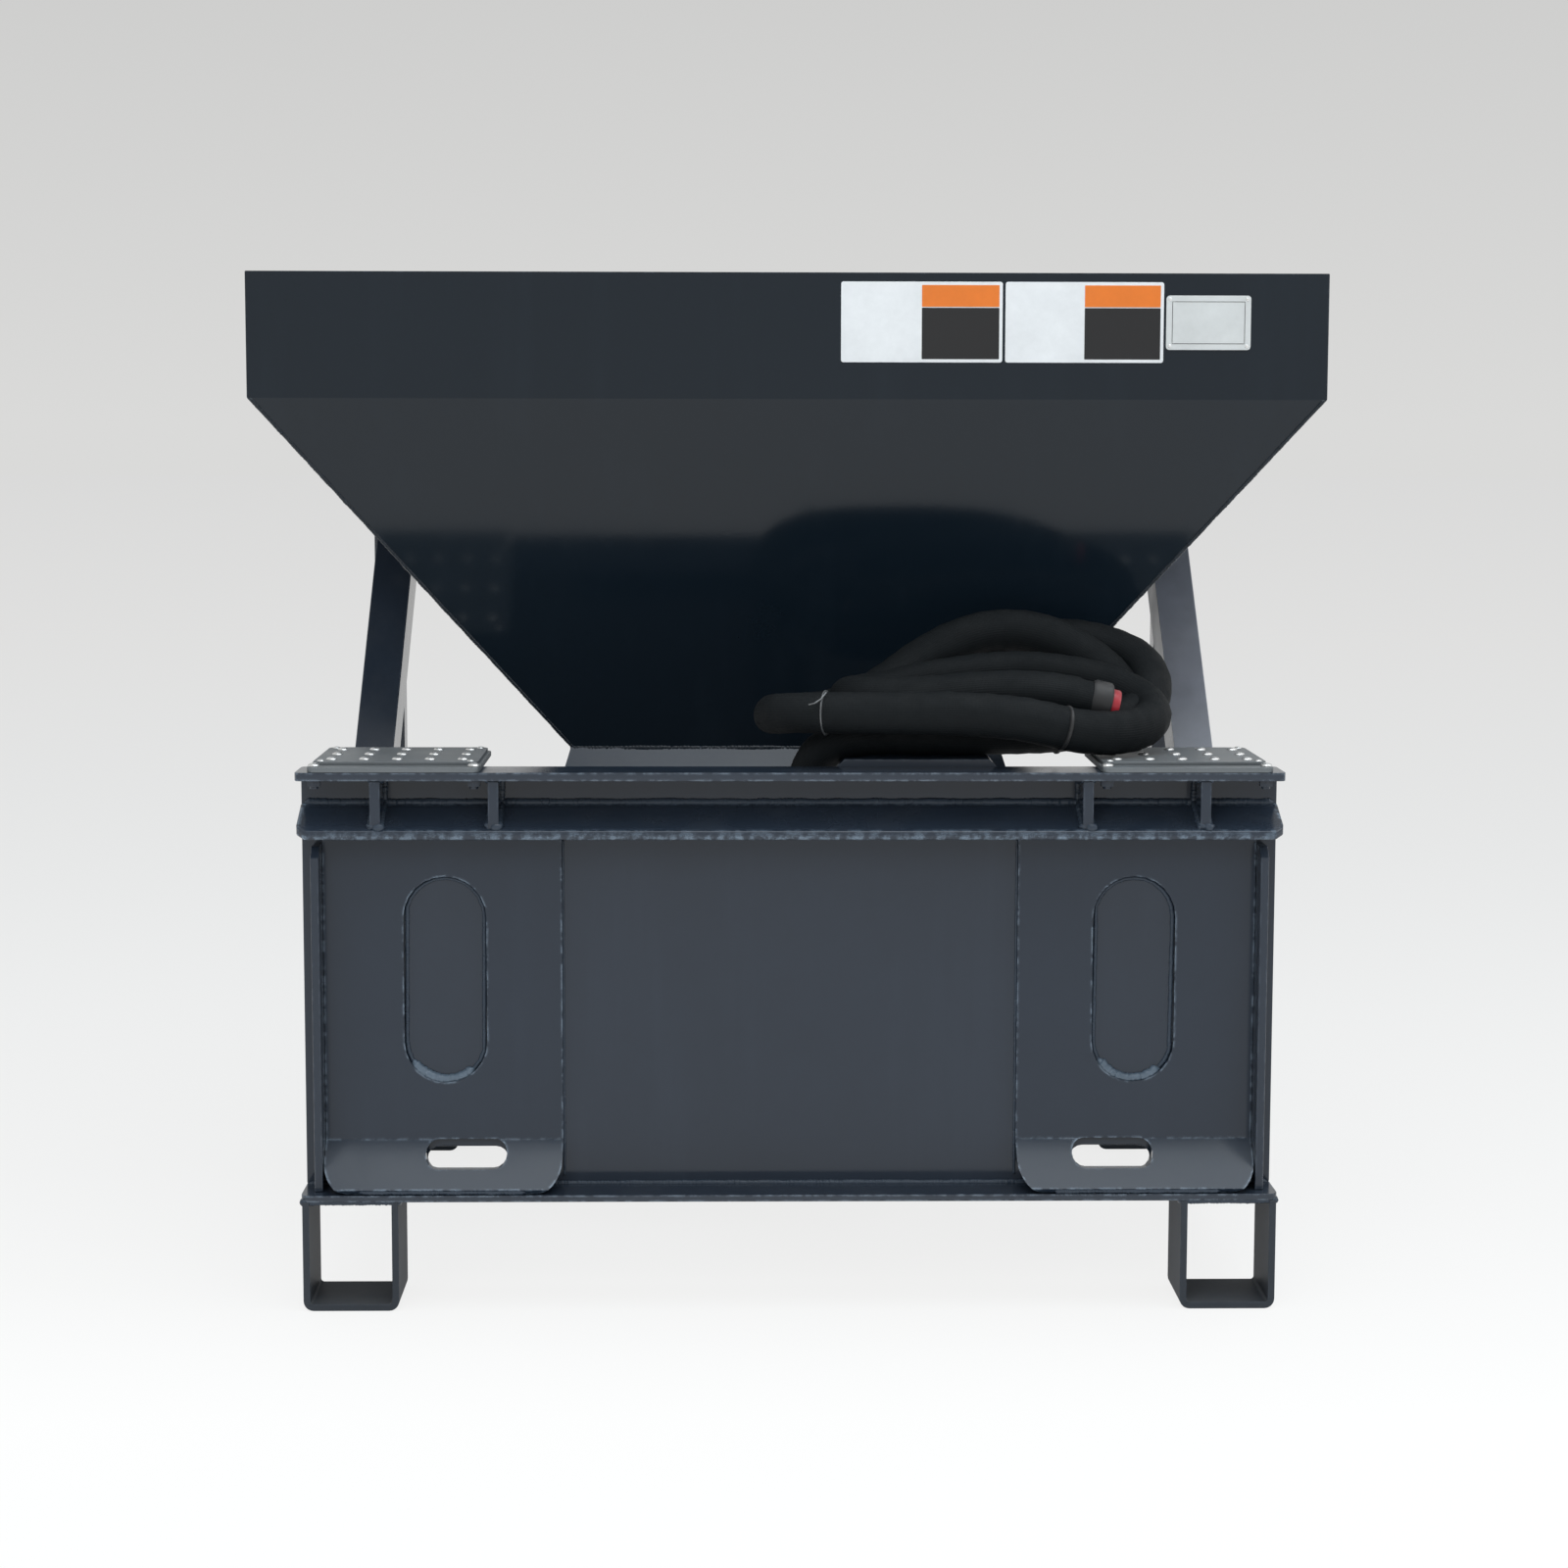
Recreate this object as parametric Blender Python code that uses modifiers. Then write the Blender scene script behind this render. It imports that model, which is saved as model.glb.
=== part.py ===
"""A skid-steer hopper spreader: an attach frame, a sheet-metal hopper on two leaning braces and two rear
posts, and under the outlet a slide gate, a hydraulic spinner in its hood and a hinged deflector.

Metres, +Z up. X runs along the attach plate and +Y points away from the carrier machine. The floor is
Z = 0, and the origin is under the middle of the object. Left and right are as seen from the attach side."""

import math

import bmesh
import bpy
from mathutils import Matrix, Vector

GAP = 0.0003  # between pieces that touch
RUNNING = 0.0005  # between pieces that slide or turn on each other
LEFT, RIGHT = -1, 1

# Attach frame: depths are from the front plane, where the hook and the base plate end
FRAME_WIDTH = 1.166
FRAME_TOP = 0.6465
FLANGE_DEPTH = 0.072
FLANGE_T = 0.010
FLANGE_CORNER = 0.006
PLATE_SETBACK = 0.063
PLATE_T = 0.010
HOOK_T = 0.011
HOOK_TOP_FRONT = 0.0695  # from the frame's top down to the hook's front edge
HOOK_TOP_REAR = 0.042  # and down to its weld on the back plate
HOOK_CORNER = 0.012
RIB_T = 0.0125
RIB_SETBACK = 0.004
RIB_OUTER = 0.0935  # from the frame's end to the outer rib
RIB_PITCH = 0.139
FOOT_HEIGHT = 0.132
FOOT_WIDTH = 0.114
FOOT_LENGTH = 0.105
FOOT_T = 0.008
FOOT_CORNER = 0.012
FOOT_INSET = 0.002
BASE_T = 0.008
BASE_DEPTH = 0.110
BASE_CORNER = 0.012

# Lip plates, which hold the slots for the carrier's wedge pins
LIP_T = 0.008
LIP_INNER = 0.273
LIP_OUTER = 0.558
LIP_BEND = 0.056  # above the base plate
LIP_TIP_DROP = 0.0015
LIP_CORNER = 0.036
LIP_SLOT_X = 0.3885
LIP_SLOT_WIDTH = 0.0975
LIP_SLOT_HEIGHT = 0.030
LIP_SLOT_TOP = 0.0565  # above the base plate
BACK_SLOT_DROP = 0.0108  # the back plate's slots sit lower, so that a wedge pin can drive down
OVAL_X = 0.413
OVAL_Z = 0.391
OVAL_WIDTH = 0.099
OVAL_HEIGHT = 0.250
GUSSET_T = 0.010
GUSSET_SETBACK = 0.020
GUSSET_TOP = 0.0915  # below the frame's top
GUSSET_CHAMFER = 0.012

# Steps on the top flange
STEP_WIDTH = 0.203
STEP_DEPTH = 0.200
STEP_INSET = 0.014
STEP_T = 0.006
STEP_CORNER = 0.010
GRIP_T = 0.0035
GRIP_SETBACK = 0.030
GRIP_MARGIN = 0.004
BOLT_R = 0.005
BOLT_SETBACK = 0.015
BOLT_INSET = 0.0075
BOLT_HEAD_R = 0.0072
BOLT_HEAD_T = 0.0040
NUT_R = 0.0085
NUT_T = 0.0070
BOLT_TAIL = 0.010

# Under-frame and what carries the hopper
RAIL_WIDTH = 0.050
RAIL_HEIGHT = 0.060
RAIL_WALL = 0.004
RAIL_INSET = 0.001
RAIL_END = 0.950
CROSS_WIDTH = 0.060
CROSS_SETBACK = 0.870
REAR_FOOT_SETBACK = 0.845
BRACE_WIDTH = 0.050
BRACE_DEPTH = 0.078
BRACE_WALL = 0.004
BRACE_FOOT_Y = 0.193  # middle of its foot on the side rail
BRACE_LEAN = 0.629  # depth gained for each metre of height
BRACE_SPLAY = 0.0514  # width lost for each metre of height
POST_SIZE = 0.040
POST_WALL = 0.003

# Hopper
RIM_WIDTH = 1.327
RIM_DEPTH = 0.780
RIM_HEIGHT = 0.154
HOPPER_TOP = 1.238
HOPPER_SETBACK = 0.220
OUTLET_WIDTH = 0.548
OUTLET_DEPTH = 0.440
OUTLET_Z = 0.635
SHEET = 0.004
RATING_X = 0.515
RATING_DROP = 0.060  # below the hopper top
RATING_WIDTH = 0.104
RATING_HEIGHT = 0.066
RATING_T = 0.0012
RATING_CORNER = 0.004

# Feed floor, gate and its guides
FLOOR_T = 0.006
SHAFT_HOLE_R = 0.018
PORT_WIDTH = 0.100
PORT_DEPTH = 0.140
PORT_X = 0.085
PORT_CORNER = 0.015
GATE_WIDTH = 0.360
GATE_T = 0.004
GATE_FRONT = 0.090  # in front of the shaft
GATE_LENGTH = 0.440
GATE_TRAVEL = 0.160
GRIP_HOLE_WIDTH = 0.110
GRIP_HOLE_DEPTH = 0.032
GRIP_HOLE_EDGE = 0.018
GUIDE_T = 0.006
GUIDE_LIP = 0.0155
GUIDE_FRONT = 0.130
GUIDE_REAR = 0.200
KNOB_R = 0.018
KNOB_T = 0.014
KNOB_STUD_R = 0.004

# Spinner and its hood
HOOD_FLARE_X = 0.022
HOOD_FLARE_Y = 0.050
HOOD_SHOULDER = 0.074  # below the outlet
BEAM_DEPTH = 0.120
BEAM_T = 0.006
BEAM_TOP = 0.330
BEAM_FOOT = 0.140
BEAM_RISER = 0.080
BEAM_HOLE_CLEAR = 0.002
MOTOR_R = 0.041
MOTOR_LENGTH = 0.110
MOTOR_FLANGE = 0.100
MOTOR_FLANGE_T = 0.012
MOTOR_FLANGE_CORNER = 0.014
MOTOR_CHAMFER = 0.004
PORT_BOSS_R = 0.016
PORT_BOSS_LENGTH = 0.024
PORT_SPACING = 0.044
PORT_DROP = 0.060
SHAFT_R = 0.0125
SHAFT_CHAMFER = 0.002
SHAFT_SEAT = 0.040
SHAFT_TOP = 0.712
COLLAR_R = 0.021
COLLAR_T = 0.010
DISC_R = 0.190
DISC_T = 0.004
DISC_Z = 0.385
HUB_R = 0.030
HUB_T = 0.022
VANE_COUNT = 4
VANE_INNER = 0.052
VANE_OUTER = 0.182
VANE_HEIGHT = 0.032
VANE_FOOT = 0.020
VANE_T = 0.003
AGITATOR_Z = 0.668
AGITATOR_HUB_T = 0.034
AGITATOR_HUB_R = 0.022
FINGER_R = 0.006
FINGER_REACH = 0.125
DEFLECTOR_MARGIN = 0.004  # inside each wall of the hood
DEFLECTOR_DROP = 0.105
DEFLECTOR_T = 0.003
FLAP_SINK = 0.0004  # its face, inside the barrel's rear
HINGE_ROD_R = 0.006
HINGE_BARREL_R = 0.010
HINGE_DROP = 0.012  # below the hood's shoulder
HINGE_SETBACK = 0.040  # in front of the hood's rear edge
HINGE_ROD_OVERHANG = 0.010

# Hydraulic hoses
HOSE_R = 0.009
HOSE_APART = 0.0015  # from the middle of the pair to the side of each hose
SLEEVE_R = 0.026
SLEEVE_X = 0.022
SLEEVE_Y = 0.105
CLAMP_WIDTH = 0.060
CLAMP_DEPTH = 0.060
CLAMP_T = 0.025
CLAMP_TOP = 0.600
CLAMP_CORNER = 0.006
REST_CLEAR = 0.003  # beside the hose clamp
REST_RIGHT = 0.249
REST_DEPTH = 0.190
REST_T = 0.006
REST_RISE = 0.0085  # its top, above the frame's top
REST_LEG = 0.060
REST_CORNER = 0.010
COIL_X = 0.220
COIL_HALF_LENGTH = 0.260
COIL_HALF_DEPTH = 0.130
COIL_THICK = 0.060
COIL_HEIGHT = 0.080
COIL_TILT = math.radians(20.0)
COIL_LIFT = 0.0010  # above the hose rest
COIL_SETBACK = 0.009  # behind the back plate
LEAD_RISE = 0.0673
CAP_R = 0.017
CAP_LENGTH = 0.032
CAP_FACE = 0.8  # share of its radius that its rounded end keeps
CAP_CLEAR = 0.0007  # inside the coil

# Worked out from the sizes above
HALF = FRAME_WIDTH / 2
FRONT = -(HOPPER_SETBACK + RIM_DEPTH) / 2  # the front plane's Y
HOPPER_Y = FRONT + HOPPER_SETBACK + RIM_DEPTH / 2
BASE_BOTTOM = FOOT_HEIGHT + GAP
BASE_TOP = BASE_BOTTOM + BASE_T
PLATE_Y = FRONT + PLATE_SETBACK
PLATE_BACK = PLATE_Y + PLATE_T
FLANGE_BOTTOM = FRAME_TOP - FLANGE_T
HOOK_FRONT_Z = FRAME_TOP - HOOK_TOP_FRONT
HOOK_SLOPE = (HOOK_TOP_FRONT - HOOK_TOP_REAR) / PLATE_SETBACK
RAIL_BOTTOM = BASE_TOP + GAP
RAIL_TOP = RAIL_BOTTOM + RAIL_HEIGHT
RAIL_OUTER = HALF - RAIL_INSET
RAIL_INNER = RAIL_OUTER - RAIL_WIDTH
STEP_BOTTOM = FRAME_TOP + GAP
STEP_OUTER = HALF - STEP_INSET
STEP_INNER = STEP_OUTER - STEP_WIDTH
RIM_Z = HOPPER_TOP - RIM_HEIGHT
FLOOR_TOP = OUTLET_Z - GAP
FLOOR_BOTTOM = FLOOR_TOP - FLOOR_T
GATE_TOP = FLOOR_BOTTOM - RUNNING
GATE_BOTTOM = GATE_TOP - GATE_T
GUIDE_LIP_TOP = GATE_BOTTOM - RUNNING
HOOD_SHOULDER_Z = OUTLET_Z - HOOD_SHOULDER
HOOD_HALF_WIDTH = OUTLET_WIDTH / 2 + HOOD_FLARE_X
HOOD_BOTTOM = BEAM_TOP + BEAM_T + GAP
HINGE_Y = HOPPER_Y + OUTLET_DEPTH / 2 + HOOD_FLARE_Y - HINGE_SETBACK
HINGE_Z = HOOD_SHOULDER_Z - HINGE_DROP
MOTOR_TOP = BEAM_TOP - GAP
CLAMP_Y = PLATE_BACK + GAP
REST_TOP = FRAME_TOP + REST_RISE
REST_LEFT = SLEEVE_X + CLAMP_WIDTH / 2 + REST_CLEAR


# Helpers


def paint(name, colour, roughness, metallic):
    material = bpy.data.materials.new(name)
    material.use_nodes = True
    shader = material.node_tree.nodes["Principled BSDF"]
    shader.inputs["Base Color"].default_value = (*colour, 1.0)
    shader.inputs["Roughness"].default_value = roughness
    shader.inputs["Metallic"].default_value = metallic
    return material


def add(name, mesh, material, location=(0.0, 0.0, 0.0), rotation=None):
    """Puts a mesh in the scene as a part, or as a cutter where it has no material."""
    piece = bpy.data.objects.new(name, mesh)
    piece.location = location
    if rotation is not None:
        piece.matrix_world = Matrix.Translation(location) @ rotation.to_4x4()
    if material is None:
        piece.hide_render = True
        piece.display_type = "WIRE"
        cutters.objects.link(piece)
    else:
        mesh.materials.clear()
        mesh.materials.append(material)
        parts.objects.link(piece)
    return piece


def mesh_of(bm, name):
    mesh = bpy.data.meshes.new(name)
    bm.to_mesh(mesh)
    bm.free()
    return mesh


def block(name, low, high, material=None):
    """A box between two corners."""
    bm = bmesh.new()
    size = Vector(high) - Vector(low)
    bmesh.ops.create_cube(bm, size=1.0, matrix=Matrix.Diagonal((*size, 1.0)))
    return add(name, mesh_of(bm, name), material, (Vector(low) + Vector(high)) / 2)


def rod(name, start, end, radius, material=None, segments=24):
    """A round or many-sided bar from one point to another."""
    start, end = Vector(start), Vector(end)
    along = end - start
    bm = bmesh.new()
    bmesh.ops.create_cone(
        bm, cap_ends=True, segments=segments, radius1=radius, radius2=radius, depth=along.length
    )
    rotation = along.to_track_quat("Z", "Y").to_matrix()
    return add(name, mesh_of(bm, name), material, (start + end) / 2, rotation)


# The two world axes of an outline and the one that it is extruded along
FACING = {
    "x": Matrix(((0, 0, 1), (1, 0, 0), (0, 1, 0))),
    "y": Matrix(((1, 0, 0), (0, 0, -1), (0, 1, 0))),
    "z": Matrix.Identity(3),
}


def flat(name, outlines, thickness, material, location, rotation):
    """A flat plate from closed outlines, of which the inner ones are holes, as a mesh."""
    curve = bpy.data.curves.new(name, "CURVE")
    curve.dimensions = "2D"
    curve.fill_mode = "BOTH"
    curve.extrude = thickness / 2
    for outline in outlines:
        spline = curve.splines.new("POLY")
        spline.points.add(len(outline) - 1)
        spline.use_cyclic_u = True
        for point, (a, b) in zip(spline.points, outline):
            point.co = (a, b, 0.0, 1.0)
    drawn = bpy.data.objects.new(name + "_outline", curve)
    bpy.context.scene.collection.objects.link(drawn)
    graph = bpy.context.evaluated_depsgraph_get()
    mesh = bpy.data.meshes.new_from_object(drawn.evaluated_get(graph))
    bpy.data.objects.remove(drawn, do_unlink=True)
    bpy.data.curves.remove(curve)
    bm = bmesh.new()
    bm.from_mesh(mesh)
    bmesh.ops.remove_doubles(bm, verts=bm.verts, dist=1e-6)
    bmesh.ops.recalc_face_normals(bm, faces=bm.faces)
    bm.to_mesh(mesh)
    bm.free()
    mesh.name = name
    return add(name, mesh, material, location, rotation)


def plate(name, outlines, facing, start, end, material=None):
    """A plate whose outlines are in world coordinates, between two places along the axis that it faces."""
    location = Vector([(start + end) / 2 if axis == facing else 0.0 for axis in "xyz"])
    return flat(name, outlines, abs(end - start), material, location, FACING[facing])


def sheet(name, rows, inside, thickness, offset, material):
    """Sheet metal through rows of points, thickened from its outer face in (-1) or its inner face out (1)."""
    bm = bmesh.new()
    grid = [[bm.verts.new(point) for point in row] for row in rows]
    for upper, lower in zip(grid, grid[1:]):
        for i in range(len(upper) - 1):
            face = bm.faces.new((upper[i], upper[i + 1], lower[i + 1], lower[i]))
            face.normal_update()
            if face.normal.dot(face.calc_center_median() - Vector(inside)) < 0:
                face.normal_flip()
    piece = add(name, mesh_of(bm, name), material)
    solid = piece.modifiers.new("thickness", "SOLIDIFY")
    solid.thickness = thickness
    solid.offset = offset
    solid.use_even_offset = True
    return piece


def turned(name, profile, location, material=None, rotation=None, steps=32):
    """A turned piece from (radius, height) points, which run down its outer side."""
    ring = min(r for r, _ in profile) > 0
    edges = [(i, i + 1) for i in range(len(profile) - 1)] + [(len(profile) - 1, 0)] * ring
    mesh = bpy.data.meshes.new(name)
    mesh.from_pydata([(r, 0.0, z) for r, z in profile], edges, [])
    piece = add(name, mesh, material, location, rotation)
    screw = piece.modifiers.new("turn", "SCREW")
    screw.steps = screw.render_steps = steps
    screw.use_merge_vertices = True
    screw.merge_threshold = 1e-5
    return piece


def tube(name, points, radius, material):
    """A round hose along a smooth line of points."""
    curve = bpy.data.curves.new(name, "CURVE")
    curve.dimensions = "3D"
    curve.bevel_depth = radius
    curve.bevel_resolution = 2
    curve.use_fill_caps = True
    spline = curve.splines.new("POLY")
    spline.points.add(len(points) - 1)
    for point, place in zip(spline.points, points):
        point.co = (*place, 1.0)
    curve.materials.append(material)
    piece = bpy.data.objects.new(name, curve)
    parts.objects.link(piece)
    return piece


def smooth(route, spacing):
    """Points about a spacing apart on a Catmull-Rom curve through the route's points."""
    knots = [Vector(p) for p in route]
    knots = [2 * knots[0] - knots[1], *knots, 2 * knots[-1] - knots[-2]]
    line = [knots[1]]
    for a, b, c, d in zip(knots, knots[1:], knots[2:], knots[3:]):
        steps = max(1, round((c - b).length / spacing))
        for k in range(1, steps + 1):
            t = k / steps
            line.append(
                0.5 * (2 * b + (c - a) * t + (2 * a - 5 * b + 4 * c - d) * t**2
                       + (3 * b - a - 3 * c + d) * t**3)
            )
    return line


def change(piece, operation, others):
    for other in others:
        boolean = piece.modifiers.new(operation.lower() + "_" + other.name, "BOOLEAN")
        boolean.operation = operation
        boolean.solver = "EXACT"
        boolean.object = other
    return piece


def cut(piece, *others):
    return change(piece, "DIFFERENCE", others)


def join(piece, *others):
    return change(piece, "UNION", others)


def arc(x, y, rx, ry, start, end, steps):
    """Points on an arc, its angles in degrees."""
    angles = [math.radians(start + (end - start) * k / steps) for k in range(steps + 1)]
    return [(x + rx * math.cos(a), y + ry * math.sin(a)) for a in angles]


def rectangle(left, bottom, right, top, corner=0.0, steps=5):
    """A rectangle with round corners, or square ones where the corner is 0."""
    if not corner:
        return [(left, bottom), (right, bottom), (right, top), (left, top)]
    centres = [(right, top, -1, -1), (left, top, 1, -1), (left, bottom, 1, 1), (right, bottom, -1, 1)]
    points = []
    for turn, (x, y, inward_x, inward_y) in enumerate(centres):
        points += arc(
            x + inward_x * corner, y + inward_y * corner, corner, corner, 90 * turn, 90 * turn + 90, steps
        )
    return points


def upright_slot(x, z, width, height, steps=12):
    """A tall slot with round ends."""
    r, straight = width / 2, (height - width) / 2
    return arc(x, z + straight, r, r, 0, 180, steps) + arc(x, z - straight, r, r, 180, 360, steps)


def level_slot(x, z, width, height, steps=8):
    """A wide slot with round ends."""
    r, straight = height / 2, (width - height) / 2
    return arc(x + straight, z, r, r, -90, 90, steps) + arc(x - straight, z, r, r, 90, 270, steps)


def mirrored(points, side):
    return [(side * x, y) for x, y in points]


def behind(plane_point, normal, size=2.0, depth=0.6):
    """A big cutter that takes all that lies on the far side of a plane from its normal."""
    normal = Vector(normal).normalized()
    centre = Vector(plane_point) - normal * depth / 2
    bm = bmesh.new()
    bmesh.ops.create_cube(bm, size=1.0, matrix=Matrix.Diagonal((size, size, depth, 1.0)))
    name = "plane_cut"
    return add(name, mesh_of(bm, name), None, centre, normal.to_track_quat("Z", "Y").to_matrix())


def hinge_on(name, location, pieces):
    """Parents moving pieces to an empty on their joint's axis."""
    axis = bpy.data.objects.new(name, None)
    axis.location = location
    parts.objects.link(axis)
    bpy.context.view_layer.update()
    for piece in pieces:
        piece.parent = axis
        piece.matrix_parent_inverse = axis.matrix_world.inverted()


# Attach frame


def base_plate():
    outline = rectangle(-HALF, FRONT, HALF, FRONT + BASE_DEPTH, BASE_CORNER)
    plate("base_plate", [outline], "z", BASE_BOTTOM, BASE_TOP, blue)


def lip_slot(side, margin=0.0, drop=0.0):
    z = BASE_TOP + LIP_SLOT_TOP - LIP_SLOT_HEIGHT / 2 - drop
    return level_slot(side * LIP_SLOT_X, z, LIP_SLOT_WIDTH + 2 * margin, LIP_SLOT_HEIGHT + 2 * margin)


def back_plate():
    outline = rectangle(-HALF, BASE_TOP + GAP, HALF, FLANGE_BOTTOM - GAP)
    slots = [lip_slot(side, drop=BACK_SLOT_DROP) for side in (LEFT, RIGHT)]
    plate("back_plate", [outline, *slots], "y", PLATE_Y, PLATE_BACK, blue)


def top_flange():
    outline = rectangle(-HALF, FRONT, HALF, FRONT + FLANGE_DEPTH, FLANGE_CORNER, 2)
    holes = [
        arc(side * x, FRONT + BOLT_SETBACK, BOLT_R + GAP, BOLT_R + GAP, 0, 345, 23)
        for side in (LEFT, RIGHT)
        for x in (STEP_OUTER - BOLT_INSET, STEP_INNER + BOLT_INSET)
    ]
    plate("top_flange", [outline, *holes], "z", FLANGE_BOTTOM, FRAME_TOP, blue)


def hook_top(depth):
    """The height of the hook plate's upper face at a depth behind the front plane."""
    return HOOK_FRONT_Z + HOOK_SLOPE * depth


def hook_plate():
    rear = PLATE_SETBACK - GAP
    profile = [
        (FRONT, hook_top(0) - HOOK_T),
        (FRONT + rear, hook_top(rear) - HOOK_T),
        (FRONT + rear, hook_top(rear)),
        (FRONT, hook_top(0)),
    ]
    hook = plate("hook_plate", [profile], "x", -HALF, HALF, blue)
    for side in (LEFT, RIGHT):
        corner = block(
            f"hook_corner_{side}",
            (side * HALF - HOOK_CORNER, FRONT - HOOK_CORNER, HOOK_FRONT_Z - 0.05),
            (side * HALF + HOOK_CORNER, FRONT + HOOK_CORNER, HOOK_FRONT_Z + 0.05),
        )
        corner.rotation_euler = (0.0, 0.0, math.radians(45))
        corner.location.y -= HOOK_CORNER / 2
        cut(hook, corner)


def hook_ribs():
    places = [-HALF + RIB_OUTER, -HALF + RIB_OUTER + RIB_PITCH, HALF - RIB_OUTER - RIB_PITCH, HALF - RIB_OUTER]
    front, rear = RIB_SETBACK, PLATE_SETBACK - GAP
    profile = [
        (FRONT + front, hook_top(front) + GAP),
        (FRONT + rear, hook_top(rear) + GAP),
        (FRONT + rear, FLANGE_BOTTOM - GAP),
        (FRONT + front, FLANGE_BOTTOM - GAP),
    ]
    for number, x in enumerate(places, 1):
        plate(f"hook_rib_{number}", [profile], "x", x - RIB_T / 2, x + RIB_T / 2, blue)


def lip_plate(name, side):
    """A plate that is bent forward into a lip: its side profile, kept only inside its front outline."""
    back = PLATE_Y - GAP
    face = back - LIP_T
    bend = BASE_TOP + LIP_BEND
    run = face - FRONT
    drop = LIP_BEND - LIP_T + LIP_TIP_DROP
    length = math.hypot(run, drop)
    across = (LIP_T * drop / length, -LIP_T * run / length)  # from the lip's upper face to its lower one
    top = hook_top(face - FRONT) - HOOK_T - GAP
    tip = (FRONT, bend - drop)
    under_bend = bend + across[1] + (back - face - across[0]) * drop / run
    profile = [
        (face, top),
        (back, top),
        (back, under_bend),
        (tip[0] + across[0], tip[1] + across[1]),
        tip,
        (face, bend),
    ]
    lip = plate(name, [profile], "x", side * LIP_INNER, side * LIP_OUTER, blue)
    low, high, r = BASE_TOP, top + 0.02, LIP_CORNER
    outline = (
        arc(LIP_INNER + r, low + r, r, r, 180, 270, 8)
        + arc(LIP_OUTER - r, low + r, r, r, 270, 360, 8)
        + [(LIP_OUTER, high), (LIP_INNER, high)]
    )
    window = plate(
        name + "_outline",
        [
            mirrored(outline, side),
            lip_slot(side),
            upright_slot(side * OVAL_X, OVAL_Z, OVAL_WIDTH, OVAL_HEIGHT),
        ],
        "y",
        FRONT - 0.05,
        PLATE_Y + 0.05,
    )
    change(lip, "INTERSECT", [window])


def side_gusset(name, side):
    rear, top = PLATE_Y - GAP, FRAME_TOP - GUSSET_TOP
    front = FRONT + GUSSET_SETBACK
    profile = [
        (front, BASE_TOP + GAP),
        (rear, BASE_TOP + GAP),
        (rear, top),
        (front + GUSSET_CHAMFER, top),
        (front, top - GUSSET_CHAMFER),
    ]
    inner = side * (LIP_OUTER + GAP)
    plate(name, [profile], "x", inner, inner + side * GUSSET_T, blue)


def foot(name, side, setback, height):
    """A strip bent into an open-topped U, which stands on the floor."""
    outer, t, r = HALF - FOOT_INSET, FOOT_T, FOOT_CORNER
    inner = outer - FOOT_WIDTH
    outside = arc(inner + r, r, r, r, 180, 270, 5) + arc(outer - r, r, r, r, 270, 360, 5)
    inside = arc(outer - r, r, r - t, r - t, 360, 270, 5) + arc(inner + r, r, r - t, r - t, 270, 180, 5)
    outline = [(inner, height), *outside, (outer, height), (outer - t, height), *inside, (inner + t, height)]
    plate(name, [mirrored(outline, side)], "y", FRONT + setback, FRONT + setback + FOOT_LENGTH, blue)


def step(side, word):
    left, right = sorted((side * STEP_INNER, side * STEP_OUTER))
    rear = FRONT + STEP_DEPTH
    bolts = [side * (STEP_OUTER - BOLT_INSET), side * (STEP_INNER + BOLT_INSET)]
    bolt_y = FRONT + BOLT_SETBACK
    holes = [arc(x, bolt_y, BOLT_R + GAP, BOLT_R + GAP, 0, 345, 23) for x in bolts]
    outline = rectangle(left, FRONT, right, rear, STEP_CORNER)
    top = STEP_BOTTOM + STEP_T
    plate(f"step_plate_{word}", [outline, *holes], "z", STEP_BOTTOM, top, steel)
    grip = rectangle(left + GRIP_MARGIN, FRONT + GRIP_SETBACK, right - GRIP_MARGIN, rear, STEP_CORNER)
    plate(f"step_grip_{word}", [grip], "z", top + GAP, top + GAP + GRIP_T, steel)
    for number, x in enumerate(bolts, 1):
        head, nut = top + GAP, FLANGE_BOTTOM - GAP
        name = f"step_bolt_{word}_{number}"
        bolt = rod(name, (x, bolt_y, nut - BOLT_TAIL), (x, bolt_y, head + BOLT_HEAD_T / 2), BOLT_R, zinc)
        dome = [
            (0.0, BOLT_HEAD_T),
            (BOLT_HEAD_R * 0.5, BOLT_HEAD_T * 0.9),
            (BOLT_HEAD_R * 0.85, BOLT_HEAD_T * 0.6),
            (BOLT_HEAD_R, BOLT_HEAD_T * 0.2),
            (BOLT_HEAD_R, 0.0),
            (0.0, 0.0),
        ]
        join(
            bolt,
            turned(name + "_head", dome, (x, bolt_y, head), steps=24),
            rod(name + "_nut", (x, bolt_y, nut - NUT_T), (x, bolt_y, nut), NUT_R, None, 6),
        )


def attach_frame():
    base_plate()
    back_plate()
    top_flange()
    hook_plate()
    hook_ribs()
    for side, word in ((LEFT, "left"), (RIGHT, "right")):
        lip_plate(f"lip_plate_{word}", side)
        side_gusset(f"side_gusset_{word}", side)
        foot(f"front_foot_{word}", side, 0.0, FOOT_HEIGHT)
        step(side, word)


# Under-frame


def hollow(low_x, low_y, high_x, high_y, wall):
    return [
        rectangle(low_x, low_y, high_x, high_y),
        rectangle(low_x + wall, low_y + wall, high_x - wall, high_y - wall),
    ]


def side_rail(name, side):
    section = [
        mirrored(outline, side) for outline in hollow(RAIL_INNER, RAIL_BOTTOM, RAIL_OUTER, RAIL_TOP, RAIL_WALL)
    ]
    plate(name, section, "y", PLATE_BACK + GAP, FRONT + RAIL_END, blue)


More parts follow.
